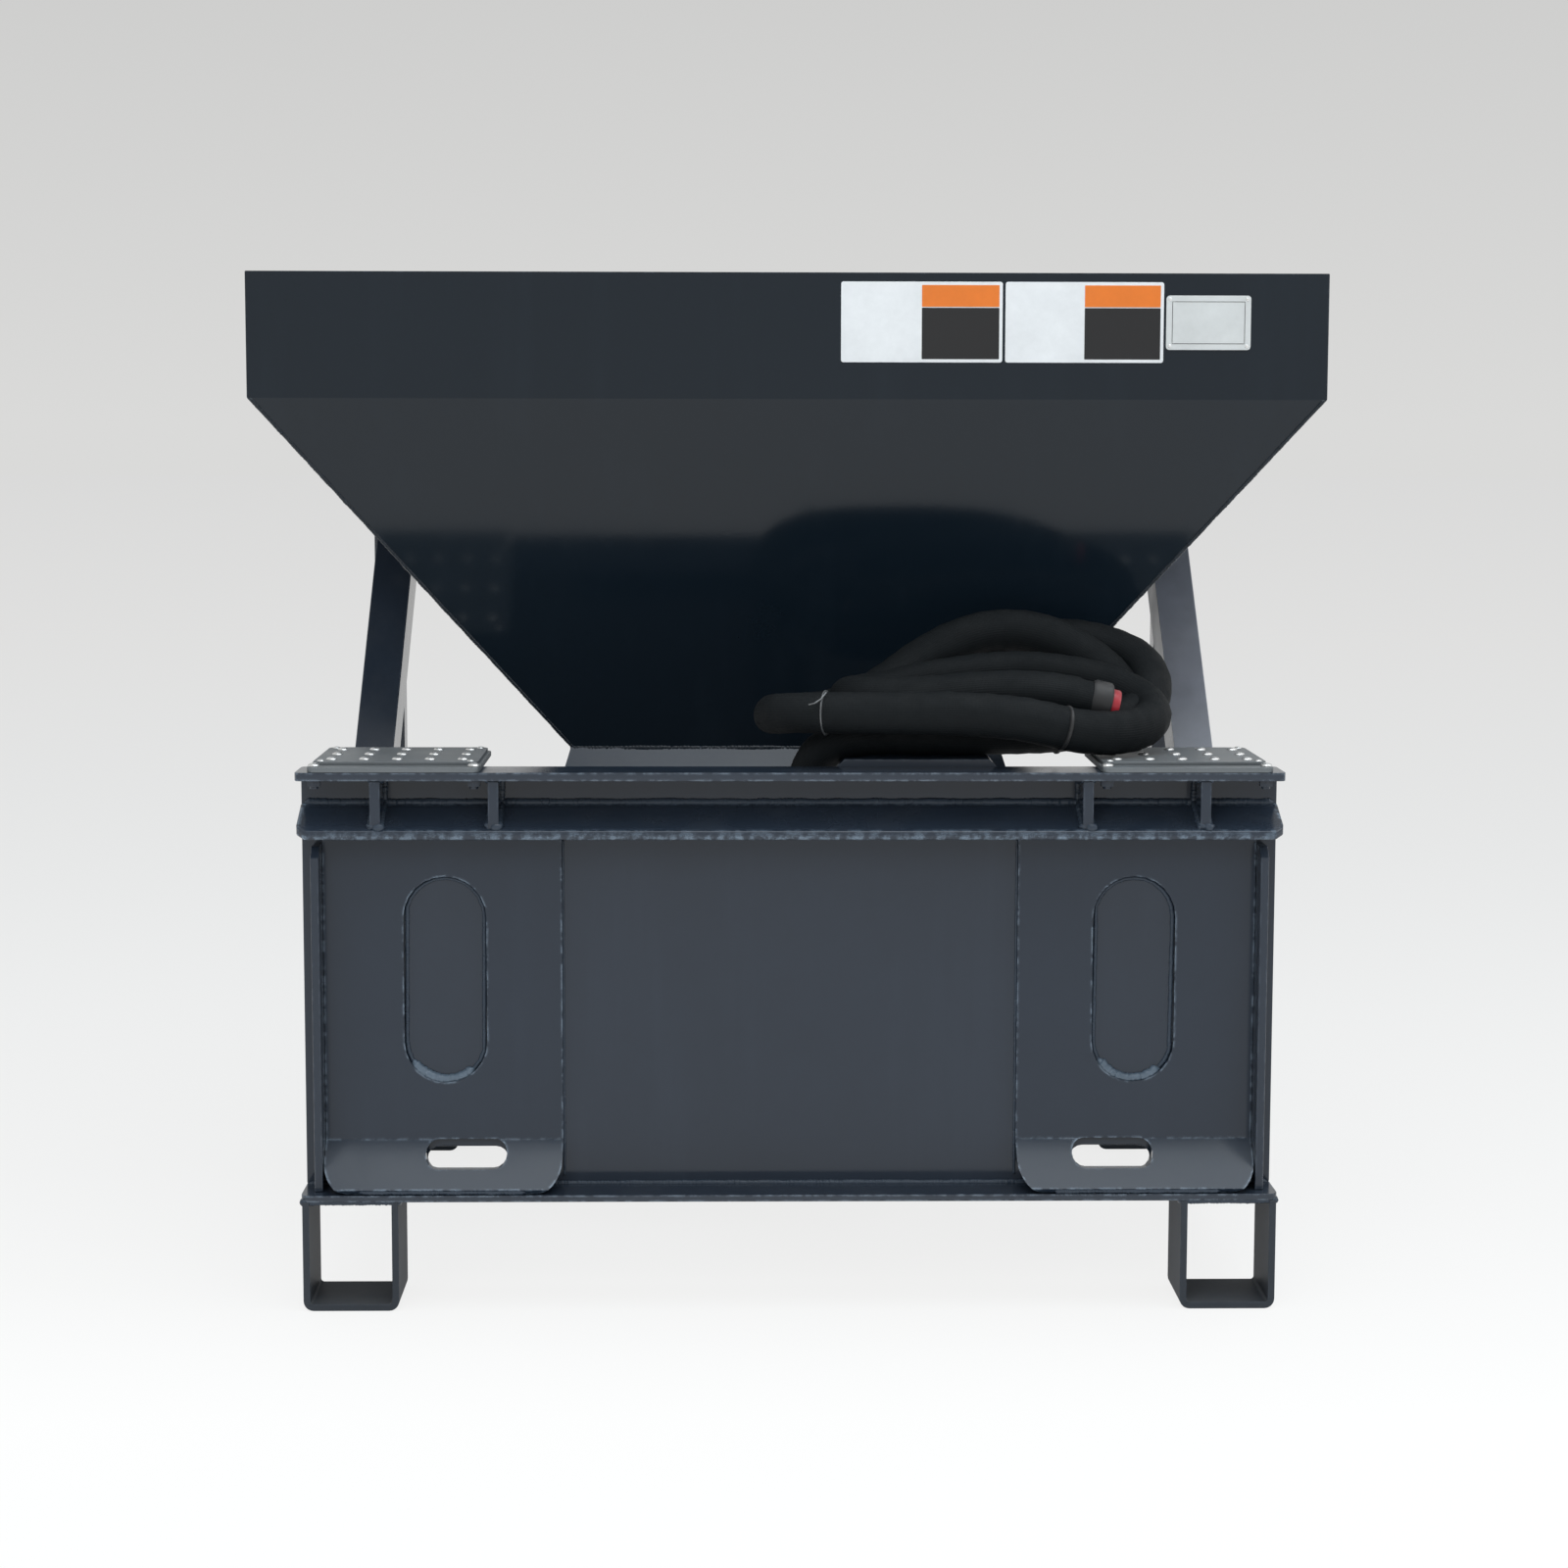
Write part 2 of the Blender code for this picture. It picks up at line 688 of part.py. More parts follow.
def rear_crossmember():
    front = FRONT + CROSS_SETBACK
    section = hollow(front, RAIL_BOTTOM, front + CROSS_WIDTH, RAIL_TOP, RAIL_WALL)
    plate("rear_crossmember", section, "x", -RAIL_INNER + GAP, RAIL_INNER - GAP, blue)


def side_wall_normal(side):
    run, rise = (RIM_WIDTH - OUTLET_WIDTH) / 2, RIM_Z - OUTLET_Z
    return Vector((side * rise, 0.0, -run)).normalized()


def brace(name, side):
    """A leaning rectangular tube from the side rail to the hopper's side wall, cut to both."""
    axis = Vector((-side * BRACE_SPLAY, BRACE_LEAN, 1.0)).normalized()
    across = Vector((1.0, 0.0, side * BRACE_SPLAY)).normalized()
    deep = axis.cross(across).normalized()
    rotation = Matrix((deep.cross(axis), deep, axis)).transposed()
    low = Vector((side * (RAIL_OUTER - BRACE_WIDTH / 2), FRONT + BRACE_FOOT_Y, RAIL_TOP))
    reach = (RIM_Z - RAIL_TOP) / axis.z
    w, d = BRACE_WIDTH / 2, BRACE_DEPTH / 2
    piece = flat(name, hollow(-w, -d, w, d, BRACE_WALL), reach + 0.2, blue, low + axis * reach / 2, rotation)
    normal = side_wall_normal(side)
    wall = Vector((side * OUTLET_WIDTH / 2, HOPPER_Y, OUTLET_Z)) + normal * GAP
    cut(piece, behind(wall, normal), behind((0.0, FRONT + BRACE_FOOT_Y, RAIL_TOP + GAP), (0, 0, 1), 3.0))


def rear_post(name, side):
    """An upright from the end of the side rail to the hopper's side wall, flush with the rail's outer face."""
    middle = FRONT + CROSS_SETBACK + CROSS_WIDTH / 2
    outlines = hollow(RAIL_OUTER - POST_SIZE, middle - POST_SIZE / 2, RAIL_OUTER, middle + POST_SIZE / 2, POST_WALL)
    piece = plate(name, [mirrored(outline, side) for outline in outlines], "z", RAIL_TOP + GAP, RIM_Z, blue)
    normal = side_wall_normal(side)
    cut(piece, behind(Vector((side * OUTLET_WIDTH / 2, HOPPER_Y, OUTLET_Z)) + normal * GAP, normal))


def under_frame():
    for side, word in ((LEFT, "left"), (RIGHT, "right")):
        side_rail(f"side_rail_{word}", side)
        foot(f"rear_foot_{word}", side, REAR_FOOT_SETBACK, RAIL_BOTTOM - GAP)
        brace(f"brace_{word}", side)
        rear_post(f"rear_post_{word}", side)
    rear_crossmember()


# Hopper


def hopper():
    """Four bent sheets: the front and rear ones run full width and the side ones stand between them."""
    half_rim, half_outlet = RIM_WIDTH / 2, OUTLET_WIDTH / 2
    inside = (0.0, HOPPER_Y, RIM_Z)
    for word, way in (("front", -1), ("rear", 1)):
        rim, low = HOPPER_Y + way * RIM_DEPTH / 2, HOPPER_Y + way * OUTLET_DEPTH / 2
        rows = [
            [(-half_rim, rim, HOPPER_TOP), (half_rim, rim, HOPPER_TOP)],
            [(-half_rim, rim, RIM_Z), (half_rim, rim, RIM_Z)],
            [(-half_outlet, low, OUTLET_Z), (half_outlet, low, OUTLET_Z)],
        ]
        sheet(f"hopper_{word}_panel", rows, inside, SHEET, -1, blue)
    run, rise = (RIM_DEPTH - OUTLET_DEPTH) / 2, RIM_Z - OUTLET_Z
    butt = (SHEET + GAP) * math.hypot(run, rise) / rise
    for word, side in (("left", LEFT), ("right", RIGHT)):
        rim, low = RIM_DEPTH / 2 - butt, OUTLET_DEPTH / 2 - butt
        rows = [
            [(side * half_rim, HOPPER_Y - rim, HOPPER_TOP), (side * half_rim, HOPPER_Y + rim, HOPPER_TOP)],
            [(side * half_rim, HOPPER_Y - rim, RIM_Z), (side * half_rim, HOPPER_Y + rim, RIM_Z)],
            [(side * half_outlet, HOPPER_Y - low, OUTLET_Z), (side * half_outlet, HOPPER_Y + low, OUTLET_Z)],
        ]
        sheet(f"hopper_side_panel_{word}", rows, inside, SHEET, -1, blue)
    face = HOPPER_Y - RIM_DEPTH / 2 - GAP
    left, bottom = RATING_X - RATING_WIDTH / 2, HOPPER_TOP - RATING_DROP - RATING_HEIGHT / 2
    outline = rectangle(left, bottom, left + RATING_WIDTH, bottom + RATING_HEIGHT, RATING_CORNER, 3)
    plate("rating_plate", [outline], "y", face - RATING_T, face, zinc)


# Feed floor and gate


def feed_floor():
    x, y = OUTLET_WIDTH / 2 - GAP, OUTLET_DEPTH / 2
    outline = rectangle(-x, HOPPER_Y - y + GAP, x, HOPPER_Y + y - GAP)
    hole = arc(0.0, HOPPER_Y, SHAFT_HOLE_R, SHAFT_HOLE_R, 0, 345, 23)
    ports = [
        rectangle(
            side * PORT_X - PORT_WIDTH / 2,
            HOPPER_Y - PORT_DEPTH / 2,
            side * PORT_X + PORT_WIDTH / 2,
            HOPPER_Y + PORT_DEPTH / 2,
            PORT_CORNER,
            4,
        )
        for side in (LEFT, RIGHT)
    ]
    plate("feed_floor", [outline, hole, *ports], "z", FLOOR_BOTTOM, FLOOR_TOP, blue)


def gate():
    """The gate plate is open at its front around the shaft, and has a hand hole at its rear."""
    x, notch = GATE_WIDTH / 2, SHAFT_HOLE_R
    front, rear = HOPPER_Y - GATE_FRONT, HOPPER_Y - GATE_FRONT + GATE_LENGTH
    around_shaft = arc(0.0, HOPPER_Y, notch, notch, 180, 0, 10)
    outline = [(-x, front), (-notch, front), *around_shaft, (notch, front), (x, front), (x, rear), (-x, rear)]
    hand = level_slot(0.0, rear - GRIP_HOLE_EDGE - GRIP_HOLE_DEPTH / 2, GRIP_HOLE_WIDTH, GRIP_HOLE_DEPTH)
    gate_plate = plate("gate_plate", [outline, hand], "z", GATE_BOTTOM, GATE_TOP, steel)
    knob_y = HOPPER_Y + GUIDE_REAR - KNOB_R
    knob_x = x - GUIDE_LIP / 2 + RUNNING
    for side, word in ((LEFT, "left"), (RIGHT, "right")):
        wall, foot_z = x + RUNNING, GUIDE_LIP_TOP - GUIDE_T
        section = [
            (wall, FLOOR_BOTTOM - GAP),
            (wall, GUIDE_LIP_TOP),
            (x - GUIDE_LIP, GUIDE_LIP_TOP),
            (x - GUIDE_LIP, foot_z),
            (wall + GUIDE_T, foot_z),
            (wall + GUIDE_T, FLOOR_BOTTOM - GAP),
        ]
        guide = plate(
            f"gate_guide_{word}",
            [mirrored(section, side)],
            "y",
            HOPPER_Y - GUIDE_FRONT,
            HOPPER_Y + GUIDE_REAR,
            blue,
        )
        if side == RIGHT:
            low, high = (knob_x, knob_y, foot_z - GUIDE_T), (knob_x, knob_y, GATE_BOTTOM)
            cut(guide, rod("stud_hole", low, high, KNOB_STUD_R + GAP))
    head = GUIDE_LIP_TOP - GUIDE_T - RUNNING
    knob = turned(
        "gate_lock_knob",
        [
            (0.0, GATE_BOTTOM - GAP),
            (KNOB_STUD_R, GATE_BOTTOM - GAP),
            (KNOB_STUD_R, head),
            (KNOB_R * 0.6, head),
            (KNOB_R, head - KNOB_T * 0.3),
            (KNOB_R, head - KNOB_T * 0.8),
            (KNOB_R * 0.85, head - KNOB_T),
            (0.0, head - KNOB_T),
        ],
        (knob_x, knob_y, 0.0),
        rubber,
        steps=24,
    )
    hinge_on("gate_axis", (0.0, HOPPER_Y, GATE_TOP), [gate_plate])
    hinge_on("gate_lock_axis", (knob_x, knob_y, head), [knob])


# Spinner


def spinner_hood():
    """Sheet walls and a flared roof on three sides of the spinner, open below and to the rear."""
    x, front, rear = OUTLET_WIDTH / 2, HOPPER_Y - OUTLET_DEPTH / 2, HOPPER_Y + OUTLET_DEPTH / 2
    wide, near, far = HOOD_HALF_WIDTH, front - HOOD_FLARE_Y, rear + HOOD_FLARE_Y

    def ring(half_width, near_y, far_y, z):
        corners = [(-half_width, far_y), (-half_width, near_y), (half_width, near_y), (half_width, far_y)]
        return [(x, y, z) for x, y in corners]

    rows = [
        ring(x, front, rear, FLOOR_TOP),
        ring(wide, near, far, HOOD_SHOULDER_Z),
        ring(wide, near, far, HOOD_BOTTOM),
    ]
    hood = sheet("spinner_hood", rows, (0.0, HOPPER_Y, HOOD_SHOULDER_Z - 0.1), SHEET, 1, blue)
    reach = HOOD_HALF_WIDTH + HINGE_ROD_OVERHANG
    ends = (-reach, HINGE_Y, HINGE_Z), (reach, HINGE_Y, HINGE_Z)
    cut(hood, rod("hinge_hole", *ends, HINGE_ROD_R + GAP))
    rod("deflector_rod", *ends, HINGE_ROD_R, zinc)


def deflector():
    x = HOOD_HALF_WIDTH - DEFLECTOR_MARGIN
    turn = Vector((1.0, 0.0, 0.0)).to_track_quat("Z", "Y").to_matrix()
    bore = HINGE_ROD_R + GAP
    barrel = turned(
        "deflector",
        [(bore, x), (HINGE_BARREL_R, x), (HINGE_BARREL_R, -x), (bore, -x)],
        (0.0, HINGE_Y, HINGE_Z),
        blue,
        turn,
        24,
    )
    rear = HINGE_Y + HINGE_BARREL_R - FLAP_SINK
    flap = block(
        "deflector_flap", (-x, rear - DEFLECTOR_T, HINGE_Z - DEFLECTOR_DROP), (x, rear, HINGE_Z)
    )
    join(barrel, flap)
    hinge_on("deflector_axis", (0.0, HINGE_Y, HINGE_Z), [barrel])


def motor_beam():
    """A strip bent into a low bridge between the side rails."""
    y0, y1 = HOPPER_Y - BEAM_DEPTH / 2, HOPPER_Y + BEAM_DEPTH / 2
    foot_z, out = RAIL_TOP + GAP, RAIL_OUTER
    path = [
        (-out, foot_z),
        (-out + BEAM_FOOT, foot_z),
        (-out + BEAM_FOOT + BEAM_RISER, BEAM_TOP),
        (out - BEAM_FOOT - BEAM_RISER, BEAM_TOP),
        (out - BEAM_FOOT, foot_z),
        (out, foot_z),
    ]
    rows = [[(x, y0, z), (x, y1, z)] for x, z in path]
    beam = sheet("motor_beam", rows, (0.0, HOPPER_Y, -5.0), BEAM_T, 1, blue)
    low, high = BEAM_TOP - 0.02, BEAM_TOP + 0.03
    cut(beam, rod("beam_hole", (0.0, HOPPER_Y, low), (0.0, HOPPER_Y, high), COLLAR_R + BEAM_HOLE_CLEAR))


def hydraulic_motor():
    bottom = MOTOR_TOP - MOTOR_LENGTH
    half = MOTOR_FLANGE / 2
    motor = turned(
        "hydraulic_motor",
        [
            (0.0, MOTOR_TOP - MOTOR_FLANGE_T / 2),
            (MOTOR_R, MOTOR_TOP - MOTOR_FLANGE_T / 2),
            (MOTOR_R, bottom + MOTOR_CHAMFER),
            (MOTOR_R - MOTOR_CHAMFER, bottom),
            (0.0, bottom),
        ],
        (0.0, HOPPER_Y, 0.0),
        iron,
    )
    outline = rectangle(-half, HOPPER_Y - half, half, HOPPER_Y + half, MOTOR_FLANGE_CORNER, 3)
    flange = plate("motor_flange", [outline], "z", MOTOR_TOP - MOTOR_FLANGE_T, MOTOR_TOP)
    bosses = [
        rod(
            "motor_boss",
            (side * PORT_SPACING / 2, HOPPER_Y, MOTOR_TOP - PORT_DROP),
            (side * PORT_SPACING / 2, HOPPER_Y - MOTOR_R - PORT_BOSS_LENGTH, MOTOR_TOP - PORT_DROP),
            PORT_BOSS_R,
        )
        for side in (LEFT, RIGHT)
    ]
    join(motor, flange, *bosses)
    seat = (0.0, HOPPER_Y, MOTOR_TOP - SHAFT_SEAT - GAP)
    cut(motor, rod("shaft_bore", seat, (0.0, HOPPER_Y, MOTOR_TOP + 0.02), SHAFT_R + GAP, None, 32))


def spinner():
    hub_low = DISC_Z - HUB_T
    collar_top = hub_low - GAP
    shaft = turned(
        "drive_shaft",
        [
            (0.0, SHAFT_TOP),
            (SHAFT_R - SHAFT_CHAMFER, SHAFT_TOP),
            (SHAFT_R, SHAFT_TOP - SHAFT_CHAMFER),
            (SHAFT_R, collar_top),
            (COLLAR_R, collar_top),
            (COLLAR_R, collar_top - COLLAR_T),
            (SHAFT_R, collar_top - COLLAR_T),
            (SHAFT_R, MOTOR_TOP - SHAFT_SEAT),
            (0.0, MOTOR_TOP - SHAFT_SEAT),
        ],
        (0.0, HOPPER_Y, 0.0),
        iron,
    )
    bore = SHAFT_R + GAP
    disc = turned(
        "spinner_disc",
        [
            (bore, DISC_Z + DISC_T),
            (DISC_R, DISC_Z + DISC_T),
            (DISC_R, DISC_Z),
            (HUB_R, DISC_Z),
            (HUB_R, hub_low),
            (bore, hub_low),
        ],
        (0.0, HOPPER_Y, 0.0),
        steel,
        steps=48,
    )
    section = [
        (0.0, 0.0),
        (VANE_FOOT, 0.0),
        (VANE_FOOT, VANE_T),
        (VANE_T, VANE_T),
        (VANE_T, VANE_HEIGHT),
        (0.0, VANE_HEIGHT),
    ]
    vanes = []
    for number in range(VANE_COUNT):
        turn = Matrix.Rotation(2 * math.pi * (number + 0.5) / VANE_COUNT, 3, "Z")
        middle = turn @ Vector((0.0, (VANE_INNER + VANE_OUTER) / 2, 0.0))
        place = Vector((0.0, HOPPER_Y, DISC_Z + DISC_T + GAP)) + middle
        vanes.append(
            flat(
                f"spinner_vane_{number + 1}",
                [section],
                VANE_OUTER - VANE_INNER,
                steel,
                place,
                turn @ FACING["y"],
            )
        )
    hub_top = AGITATOR_Z + AGITATOR_HUB_T / 2
    agitator = turned(
        "agitator",
        [
            (bore, hub_top),
            (AGITATOR_HUB_R, hub_top),
            (AGITATOR_HUB_R, hub_top - AGITATOR_HUB_T),
            (bore, hub_top - AGITATOR_HUB_T),
        ],
        (0.0, HOPPER_Y, 0.0),
        steel,
        steps=32,
    )
    root = (AGITATOR_HUB_R + bore) / 2
    fingers = [
        rod(
            "agitator_finger",
            (side * root, HOPPER_Y, AGITATOR_Z),
            (side * FINGER_REACH, HOPPER_Y, AGITATOR_Z),
            FINGER_R,
            None,
            16,
        )
        for side in (LEFT, RIGHT)
    ]
    join(agitator, *fingers)
    hinge_on("spinner_axis", (0.0, HOPPER_Y, DISC_Z), [shaft, disc, agitator, *vanes])


# Hoses


def fixed_hoses():
    """The motor's two hoses run forward under the hood and up behind the back plate into the clamp."""
    boss = HOPPER_Y - MOTOR_R - PORT_BOSS_LENGTH - GAP
    port_z = MOTOR_TOP - PORT_DROP
    for name, side in (("supply_hose", LEFT), ("return_hose", RIGHT)):
        port_x, clamp_x = side * PORT_SPACING / 2, SLEEVE_X + side * (HOSE_R + HOSE_APART)
        route = [
            (port_x, boss, port_z),
            (port_x, boss - 0.025, port_z),
            (port_x, boss - 0.050, port_z),
            (port_x, FRONT + 0.330, port_z - 0.020),
            (port_x, FRONT + 0.200, port_z - 0.010),
            (clamp_x, FRONT + SLEEVE_Y + 0.020, port_z + 0.060),
            (clamp_x, FRONT + SLEEVE_Y, port_z + 0.150),
            (clamp_x, FRONT + SLEEVE_Y, CLAMP_TOP - 0.080),
            (clamp_x, FRONT + SLEEVE_Y, CLAMP_TOP - CLAMP_T),
            (clamp_x, FRONT + SLEEVE_Y, CLAMP_TOP),
        ]
        tube(name, smooth(route, 0.022), HOSE_R, rubber)


def hose_clamp():
    left = SLEEVE_X - CLAMP_WIDTH / 2
    outline = rectangle(left, CLAMP_Y, left + CLAMP_WIDTH, CLAMP_Y + CLAMP_DEPTH, CLAMP_CORNER, 2)
    bore = HOSE_R + GAP
    holes = [
        arc(SLEEVE_X + side * (HOSE_R + HOSE_APART), FRONT + SLEEVE_Y, bore, bore, 0, 345, 23)
        for side in (LEFT, RIGHT)
    ]
    plate("hose_clamp", [outline, *holes], "z", CLAMP_TOP - CLAMP_T, CLAMP_TOP, rubber)


def hose_rest():
    """An angle on the back of the plate, whose level leg carries the coiled hose."""
    y = PLATE_BACK + GAP
    profile = [
        (y, REST_TOP - REST_LEG),
        (y + REST_T, REST_TOP - REST_LEG),
        (y + REST_T, REST_TOP - REST_T),
        (FRONT + REST_DEPTH, REST_TOP - REST_T),
        (FRONT + REST_DEPTH, REST_TOP),
        (y, REST_TOP),
    ]
    rest = plate("hose_rest", [profile], "x", REST_LEFT, REST_RIGHT, blue)
    low, cut_off = REST_TOP - REST_LEG, REST_CORNER
    front_outline = [
        (REST_LEFT, low),
        (REST_RIGHT, low),
        (REST_RIGHT, REST_TOP - cut_off),
        (REST_RIGHT - cut_off, REST_TOP),
        (REST_LEFT + cut_off, REST_TOP),
        (REST_LEFT, REST_TOP - cut_off),
    ]
    window = plate("hose_rest_outline", [front_outline], "y", PLATE_Y, FRONT + REST_DEPTH + GAP)
    change(rest, "INTERSECT", [window])


def sleeved_coil():
    """The free hose bundle in its sleeve: its short rise from the clamp and the outer shape of its coil."""
    start = CLAMP_TOP + GAP * 2
    rise = [(SLEEVE_X, FRONT + SLEEVE_Y, start), (SLEEVE_X, FRONT + SLEEVE_Y, start + LEAD_RISE)]
    tube("hose_lead", smooth(rise, 0.025), SLEEVE_R, nylon)
    a, b, t = COIL_HALF_LENGTH, COIL_HALF_DEPTH, COIL_THICK
    outlines = [arc(0.0, 0.0, a, b, 0, 350, 35), arc(0.0, 0.0, a - t, b - t, 0, 350, 35)]
    low = b * math.sin(COIL_TILT) + COIL_HEIGHT / 2 * math.cos(COIL_TILT)
    front = b * math.cos(COIL_TILT) - COIL_HEIGHT / 2 * math.sin(COIL_TILT)
    centre = Vector((COIL_X, PLATE_BACK + COIL_SETBACK + front, REST_TOP + COIL_LIFT + low))
    turn = Matrix.Rotation(COIL_TILT, 3, "X")
    flat("hose_coil", outlines, COIL_HEIGHT, nylon, centre, turn)
    inner_a, inner_b = a - t, b - t
    reach = inner_a * math.sqrt(1 - (CAP_R * CAP_FACE / inner_b) ** 2)
    length = CAP_LENGTH / 2
    turned(
        "hose_end_cap",
        [
            (0.0, length),
            (CAP_R * CAP_FACE, length),
            (CAP_R, length * 0.7),
            (CAP_R, -length),
            (0.0, -length),
        ],
        (COIL_X + reach - CAP_CLEAR - length, centre.y, centre.z),
        red,
        Matrix.Rotation(math.radians(90), 3, "Y"),
        24,
    )


for old in list(bpy.data.objects):
    bpy.data.objects.remove(old, do_unlink=True)
parts = bpy.data.collections.new("hopper_spreader")
cutters = bpy.data.collections.new("cutters")
for collection in (parts, cutters):
    bpy.context.scene.collection.children.link(collection)
cutters.hide_render = True

blue = paint("slate_blue_paint", (0.030, 0.038, 0.052), 0.35, 0.0)
steel = paint("galvanised_steel", (0.33, 0.34, 0.35), 0.45, 0.9)
zinc = paint("zinc_plate", (0.62, 0.63, 0.64), 0.35, 1.0)
iron = paint("cast_iron", (0.05, 0.05, 0.055), 0.6, 0.4)
rubber = paint("black_rubber", (0.012, 0.012, 0.013), 0.7, 0.0)
nylon = paint("black_nylon_sleeve", (0.014, 0.014, 0.015), 0.85, 0.0)
red = paint("coloured_plastic", (0.55, 0.03, 0.03), 0.4, 0.0)

attach_frame()
under_frame()
hopper()
feed_floor()
gate()
spinner_hood()
deflector()
motor_beam()
hydraulic_motor()
spinner()
fixed_hoses()
hose_clamp()
hose_rest()
sleeved_coil()
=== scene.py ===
"""Hopper spreader attachment: finishes, weld beads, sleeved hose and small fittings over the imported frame."""

import math
import random

import bmesh
import bpy
from mathutils import Matrix, Vector


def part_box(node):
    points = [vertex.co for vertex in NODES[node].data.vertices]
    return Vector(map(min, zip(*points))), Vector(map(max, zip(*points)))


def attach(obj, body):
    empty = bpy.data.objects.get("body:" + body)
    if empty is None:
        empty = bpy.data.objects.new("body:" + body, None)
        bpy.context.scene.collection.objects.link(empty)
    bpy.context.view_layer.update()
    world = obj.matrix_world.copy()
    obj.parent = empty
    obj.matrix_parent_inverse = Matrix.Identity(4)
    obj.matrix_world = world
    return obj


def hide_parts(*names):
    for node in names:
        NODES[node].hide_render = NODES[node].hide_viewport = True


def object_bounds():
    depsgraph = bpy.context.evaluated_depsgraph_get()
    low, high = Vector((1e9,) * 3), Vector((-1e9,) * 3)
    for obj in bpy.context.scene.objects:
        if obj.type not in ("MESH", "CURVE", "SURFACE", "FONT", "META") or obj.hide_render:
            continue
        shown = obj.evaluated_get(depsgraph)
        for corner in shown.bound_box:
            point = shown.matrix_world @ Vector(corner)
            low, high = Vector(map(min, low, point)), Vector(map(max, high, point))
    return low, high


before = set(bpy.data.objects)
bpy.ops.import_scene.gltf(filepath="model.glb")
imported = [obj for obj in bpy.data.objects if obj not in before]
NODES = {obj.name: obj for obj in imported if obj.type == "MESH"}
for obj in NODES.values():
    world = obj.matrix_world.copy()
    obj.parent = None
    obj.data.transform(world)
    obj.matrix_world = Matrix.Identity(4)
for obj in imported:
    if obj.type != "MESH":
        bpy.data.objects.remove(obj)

bl_info = {
    "name": "Hopper Spreader Attachment",
    "version": (1, 0, 0),
    "blender": (4, 5, 0),
    "location": "View3D > Sidebar > Spreader",
    "description": "Dresses the hopper spreader frame with paint, welds, hose and fittings",
    "category": "Object",
}

CAD_LOW, CAD_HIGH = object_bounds()

# Room left between an added piece and the outside of the frame.
INSIDE = 0.0006


# ---------------------------------------------------------------- sizes and colours


class SpreaderSizes(bpy.types.PropertyGroup):
    """Sizes that a user would change."""

    edge_round: bpy.props.FloatProperty(
        name="Edge rounding",
        description="Radius on the cut edges of the plates",
        default=0.0012,
        unit="LENGTH",
    )
    bead: bpy.props.FloatProperty(
        name="Weld bead",
        description="Radius of an ordinary fillet weld",
        default=0.0040,
        unit="LENGTH",
    )
    hose_width: bpy.props.FloatProperty(
        name="Hose width",
        description="Width of the hose sleeve",
        default=0.052,
        unit="LENGTH",
    )
    dome_width: bpy.props.FloatProperty(
        name="Grip dome width",
        description="Width of a raised dome on a step",
        default=0.0125,
        unit="LENGTH",
    )
    dome_rise: bpy.props.FloatProperty(
        name="Grip dome rise",
        description="Height of a raised dome on a step",
        default=0.0026,
        unit="LENGTH",
    )


class SpreaderColours(bpy.types.PropertyGroup):
    """Colours that a user would change."""

    frame_paint: bpy.props.FloatVectorProperty(
        name="Frame paint",
        description="Slate grey on the frame",
        subtype="COLOR",
        default=(0.0185, 0.0265, 0.0400),
    )
    hopper_paint: bpy.props.FloatVectorProperty(
        name="Hopper paint",
        description="Darker slate on the hopper",
        subtype="COLOR",
        default=(0.0055, 0.0105, 0.0165),
    )
    step_paint: bpy.props.FloatVectorProperty(
        name="Step steel",
        description="Grey of the step plates",
        subtype="COLOR",
        default=(0.150, 0.163, 0.172),
    )
    sleeve: bpy.props.FloatVectorProperty(
        name="Hose sleeve",
        description="Black of the woven sleeve",
        subtype="COLOR",
        default=(0.0045, 0.0058, 0.0068),
    )
    cap: bpy.props.FloatVectorProperty(
        name="End cap",
        description="Red of the plastic end cap",
        subtype="COLOR",
        default=(0.32, 0.018, 0.028),
    )
    floor: bpy.props.FloatVectorProperty(
        name="Floor",
        description="Pale studio floor",
        subtype="COLOR",
        default=(0.78, 0.78, 0.77),
    )


def sizes():
    return bpy.context.scene.spreader_sizes


def colours():
    return bpy.context.scene.spreader_colours


# ---------------------------------------------------------------- shader helpers


